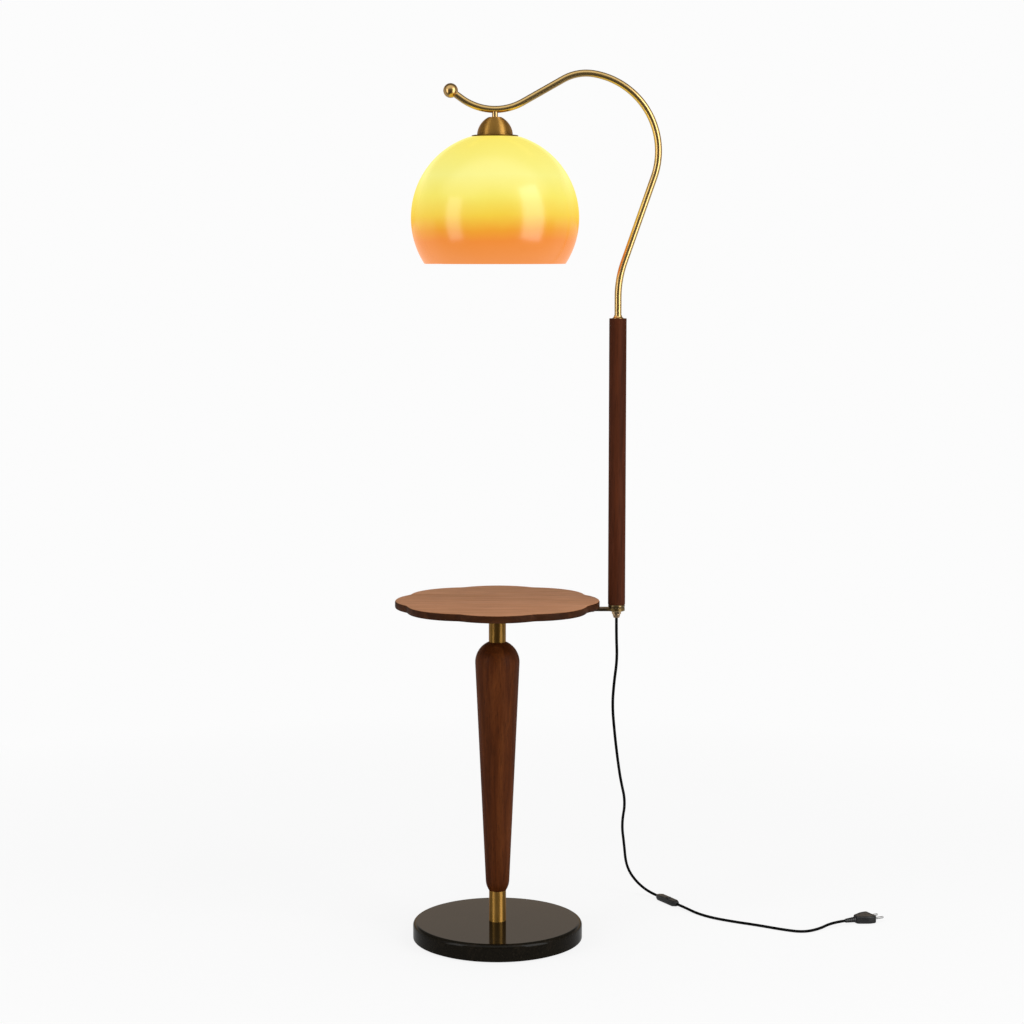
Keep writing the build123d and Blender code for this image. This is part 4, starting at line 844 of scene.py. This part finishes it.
switch_case = finished(
    bm, "switch_case", "stand", [black_moulding], ["switch_base", "switch_cover"],
)

# %% [markdown]
# ## The plug
# A flat two-pin plug is moulded round the end of the flex in one shot: a grip that widens towards the
# pins, and a ribbed boot that keeps the flex from kinking. The grip's outline is filled, raised and
# rounded in two bevels, and a shallow finger recess is inset in both faces. The boot is a stepped
# outline, spun about the line of the flex. The photo shows no plug, so this is a usual one.

# %% Mould the grip
GRIP = [(58.0, 17.5), (44.0, 17.5), (22.0, 7.5), (22.0, -7.5), (44.0, -17.5), (58.0, -17.5)]
GRIP_HEIGHT, GRIP_CORNER, GRIP_EDGE = 13.7, 4.5, 2.2
RECESS_STEPS = ((1.2, 0), (0.4, -0.5))
bm = bmesh.new()
outline = [bm.verts.new((x * MM, y * MM, 0)) for x, y in GRIP]
grip_face = bmesh.ops.contextual_create(bm, geom=outline)["faces"]
raised = bmesh.ops.extrude_face_region(bm, geom=grip_face)["geom"]
bmesh.ops.translate(bm, verts=verts_of(raised), vec=(0, 0, GRIP_HEIGHT * MM))
bmesh.ops.recalc_face_normals(bm, faces=bm.faces[:])
uprights = [edge for edge in bm.edges if abs(edge.verts[0].co.z - edge.verts[1].co.z) > MM]
bmesh.ops.bevel(
    bm, geom=uprights, offset=GRIP_CORNER * MM, segments=6, profile=0.5, affect="EDGES", material=-1,
)
rims = [edge for edge in bm.edges if max(abs(face.normal.z) for face in edge.link_faces) > 0.9]
bmesh.ops.bevel(
    bm, geom=rims, offset=GRIP_EDGE * MM, segments=5, profile=0.5, affect="EDGES", material=-1,
)
recess = [face for face in bm.faces if abs(face.normal.z) > 0.999]
for inset, sink in RECESS_STEPS:
    bmesh.ops.inset_individual(
        bm, faces=recess, thickness=inset * MM, depth=sink * MM, use_even_offset=True,
    )
print("grip of", len(bm.faces), "faces")

# %% Rib the boot
BOOT_LENGTH, BOOT_ROOT, BOOT_TIP = 22.0, 5.25, 3.5
RIBS, RIB_PITCH, RIB_WIDTH, RIB_DEPTH = 5, 4.1, 2.5, 0.8
PLUG_PLACE, PLUG_HEADING = (629.0, 79.9), 25


def boot_radius(x):
    """The boot's radius over its ribs, at a distance from its tip."""
    return BOOT_TIP + (BOOT_ROOT - BOOT_TIP) * x / BOOT_LENGTH


line = [(BOOT_LENGTH + 2, 0), (BOOT_LENGTH + 2, BOOT_ROOT - RIB_DEPTH)]
for rib in range(RIBS):
    start = BOOT_LENGTH - 1 - rib * RIB_PITCH
    stop = start - RIB_WIDTH
    line += [(start, boot_radius(start) - RIB_DEPTH), (start, boot_radius(start))]
    line += [(stop, boot_radius(stop)), (stop, boot_radius(stop) - RIB_DEPTH)]
line += [(0, BOOT_TIP - RIB_DEPTH), (0, 0)]
pen = [bm.verts.new((x * MM, r * MM, GRIP_HEIGHT / 2 * MM)) for x, r in line]
drawn = [bm.edges.new(pair) for pair in zip(pen, pen[1:])]
bmesh.ops.spin(
    bm, geom=pen + drawn, cent=(0, 0, GRIP_HEIGHT / 2 * MM), axis=(1, 0, 0), angle=2 * pi,
    steps=32, use_merge=True,
)
lay_down = Matrix.Translation(Vector((*PLUG_PLACE, 0)) * MM)
lay_down @= Matrix.Rotation(radians(PLUG_HEADING), 4, "Z")
bmesh.ops.transform(bm, matrix=lay_down, verts=bm.verts[:])
ribbed_plug = finished(bm, "ribbed_plug", "stand", [black_moulding], ["plug_body"])

# %% [markdown]
# ## The screws
# Seven pan-head screws hold flange and bracket under the table, where they show only from low down. Each
# is a spun outline with a cross pressed into its head: four cuts mark the cross on the flat of the head,
# and its faces are pushed in.

# %% Cross-head screws
SCREW_HALF = [(0, -2.6), (2.3, -2.6), (2.8, -2.6), (4, -1.4), (4, 0), (2, 0), (2, 11), (0, 14)]
CROSS_HALF, CROSS_REACH, CROSS_DEPTH = 0.5, 2.25, 1.2


def screws(name, places, face, node):
    """Cross-head screws that point up, with their heads under a face at a height in millimetres."""
    whole = bpy.data.meshes.new(name)
    gathered = bmesh.new()
    for x, y in places:
        bm = bmesh.new()
        pen = [bm.verts.new((r * MM, 0, h * MM)) for r, h in SCREW_HALF]
        for pair in zip(pen, pen[1:]):
            bm.edges.new(pair)
        bmesh.ops.bevel(
            bm, geom=pen[2:4], offset=0.5 * MM, segments=3, profile=0.5, affect="VERTICES", material=-1,
        )
        bmesh.ops.spin(
            bm, geom=bm.verts[:] + bm.edges[:], cent=(0, 0, 0), axis=(0, 0, 1), angle=2 * pi,
            steps=24, use_merge=True,
        )
        bmesh.ops.remove_doubles(bm, verts=bm.verts[:], dist=0.002 * MM)
        bmesh.ops.recalc_face_normals(bm, faces=bm.faces[:])
        for side in (-CROSS_HALF, CROSS_HALF):
            cut(bm, (side, 0, 0), (1, 0, 0))
            cut(bm, (0, side, 0), (0, 1, 0))
        cross = [
            part for part in bm.faces
            if part.normal.z < -0.9 and part.calc_center_median().xy.length < CROSS_REACH * MM
            and min(map(abs, part.calc_center_median().xy)) < CROSS_HALF * MM
        ]
        pushed = bmesh.ops.extrude_face_region(bm, geom=cross)["geom"]
        bmesh.ops.translate(bm, verts=verts_of(pushed), vec=(0, 0, CROSS_DEPTH * MM))
        bmesh.ops.translate(bm, verts=bm.verts[:], vec=(x * MM, y * MM, face * MM))
        bm.to_mesh(whole)
        bm.free()
        gathered.from_mesh(whole)
    bpy.data.meshes.remove(whole)
    finished(gathered, name, "stand", [zinc_steel], [node])


BAR_ROW = [(118.5, 0), (142.5, 0), (166.5, 0)]
FLANGE_RING = [(34 * cos(radians(turn)), 34 * sin(radians(turn))) for turn in (45, 135, 225, 315)]
screws("bracket_cross_heads", BAR_ROW, 588.5, "bracket_screws")
screws("flange_cross_heads", FLANGE_RING, 588, "flange_screws")

# %% [markdown]
# The first length runs from the gland to the switch and the second from the switch to the plug. The photo
# shows the cord from end to end, so both lengths come from it. The switch and the plug go along with them.

# %% What each length is
print("flex lengths 0.6885 m and 0.374 m")

# %% [markdown]
# ## Close
# The box round the dressed lamp is worked out from every piece that shows.

# %% Sizes and finish
bpy.context.view_layer.update()
low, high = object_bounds()
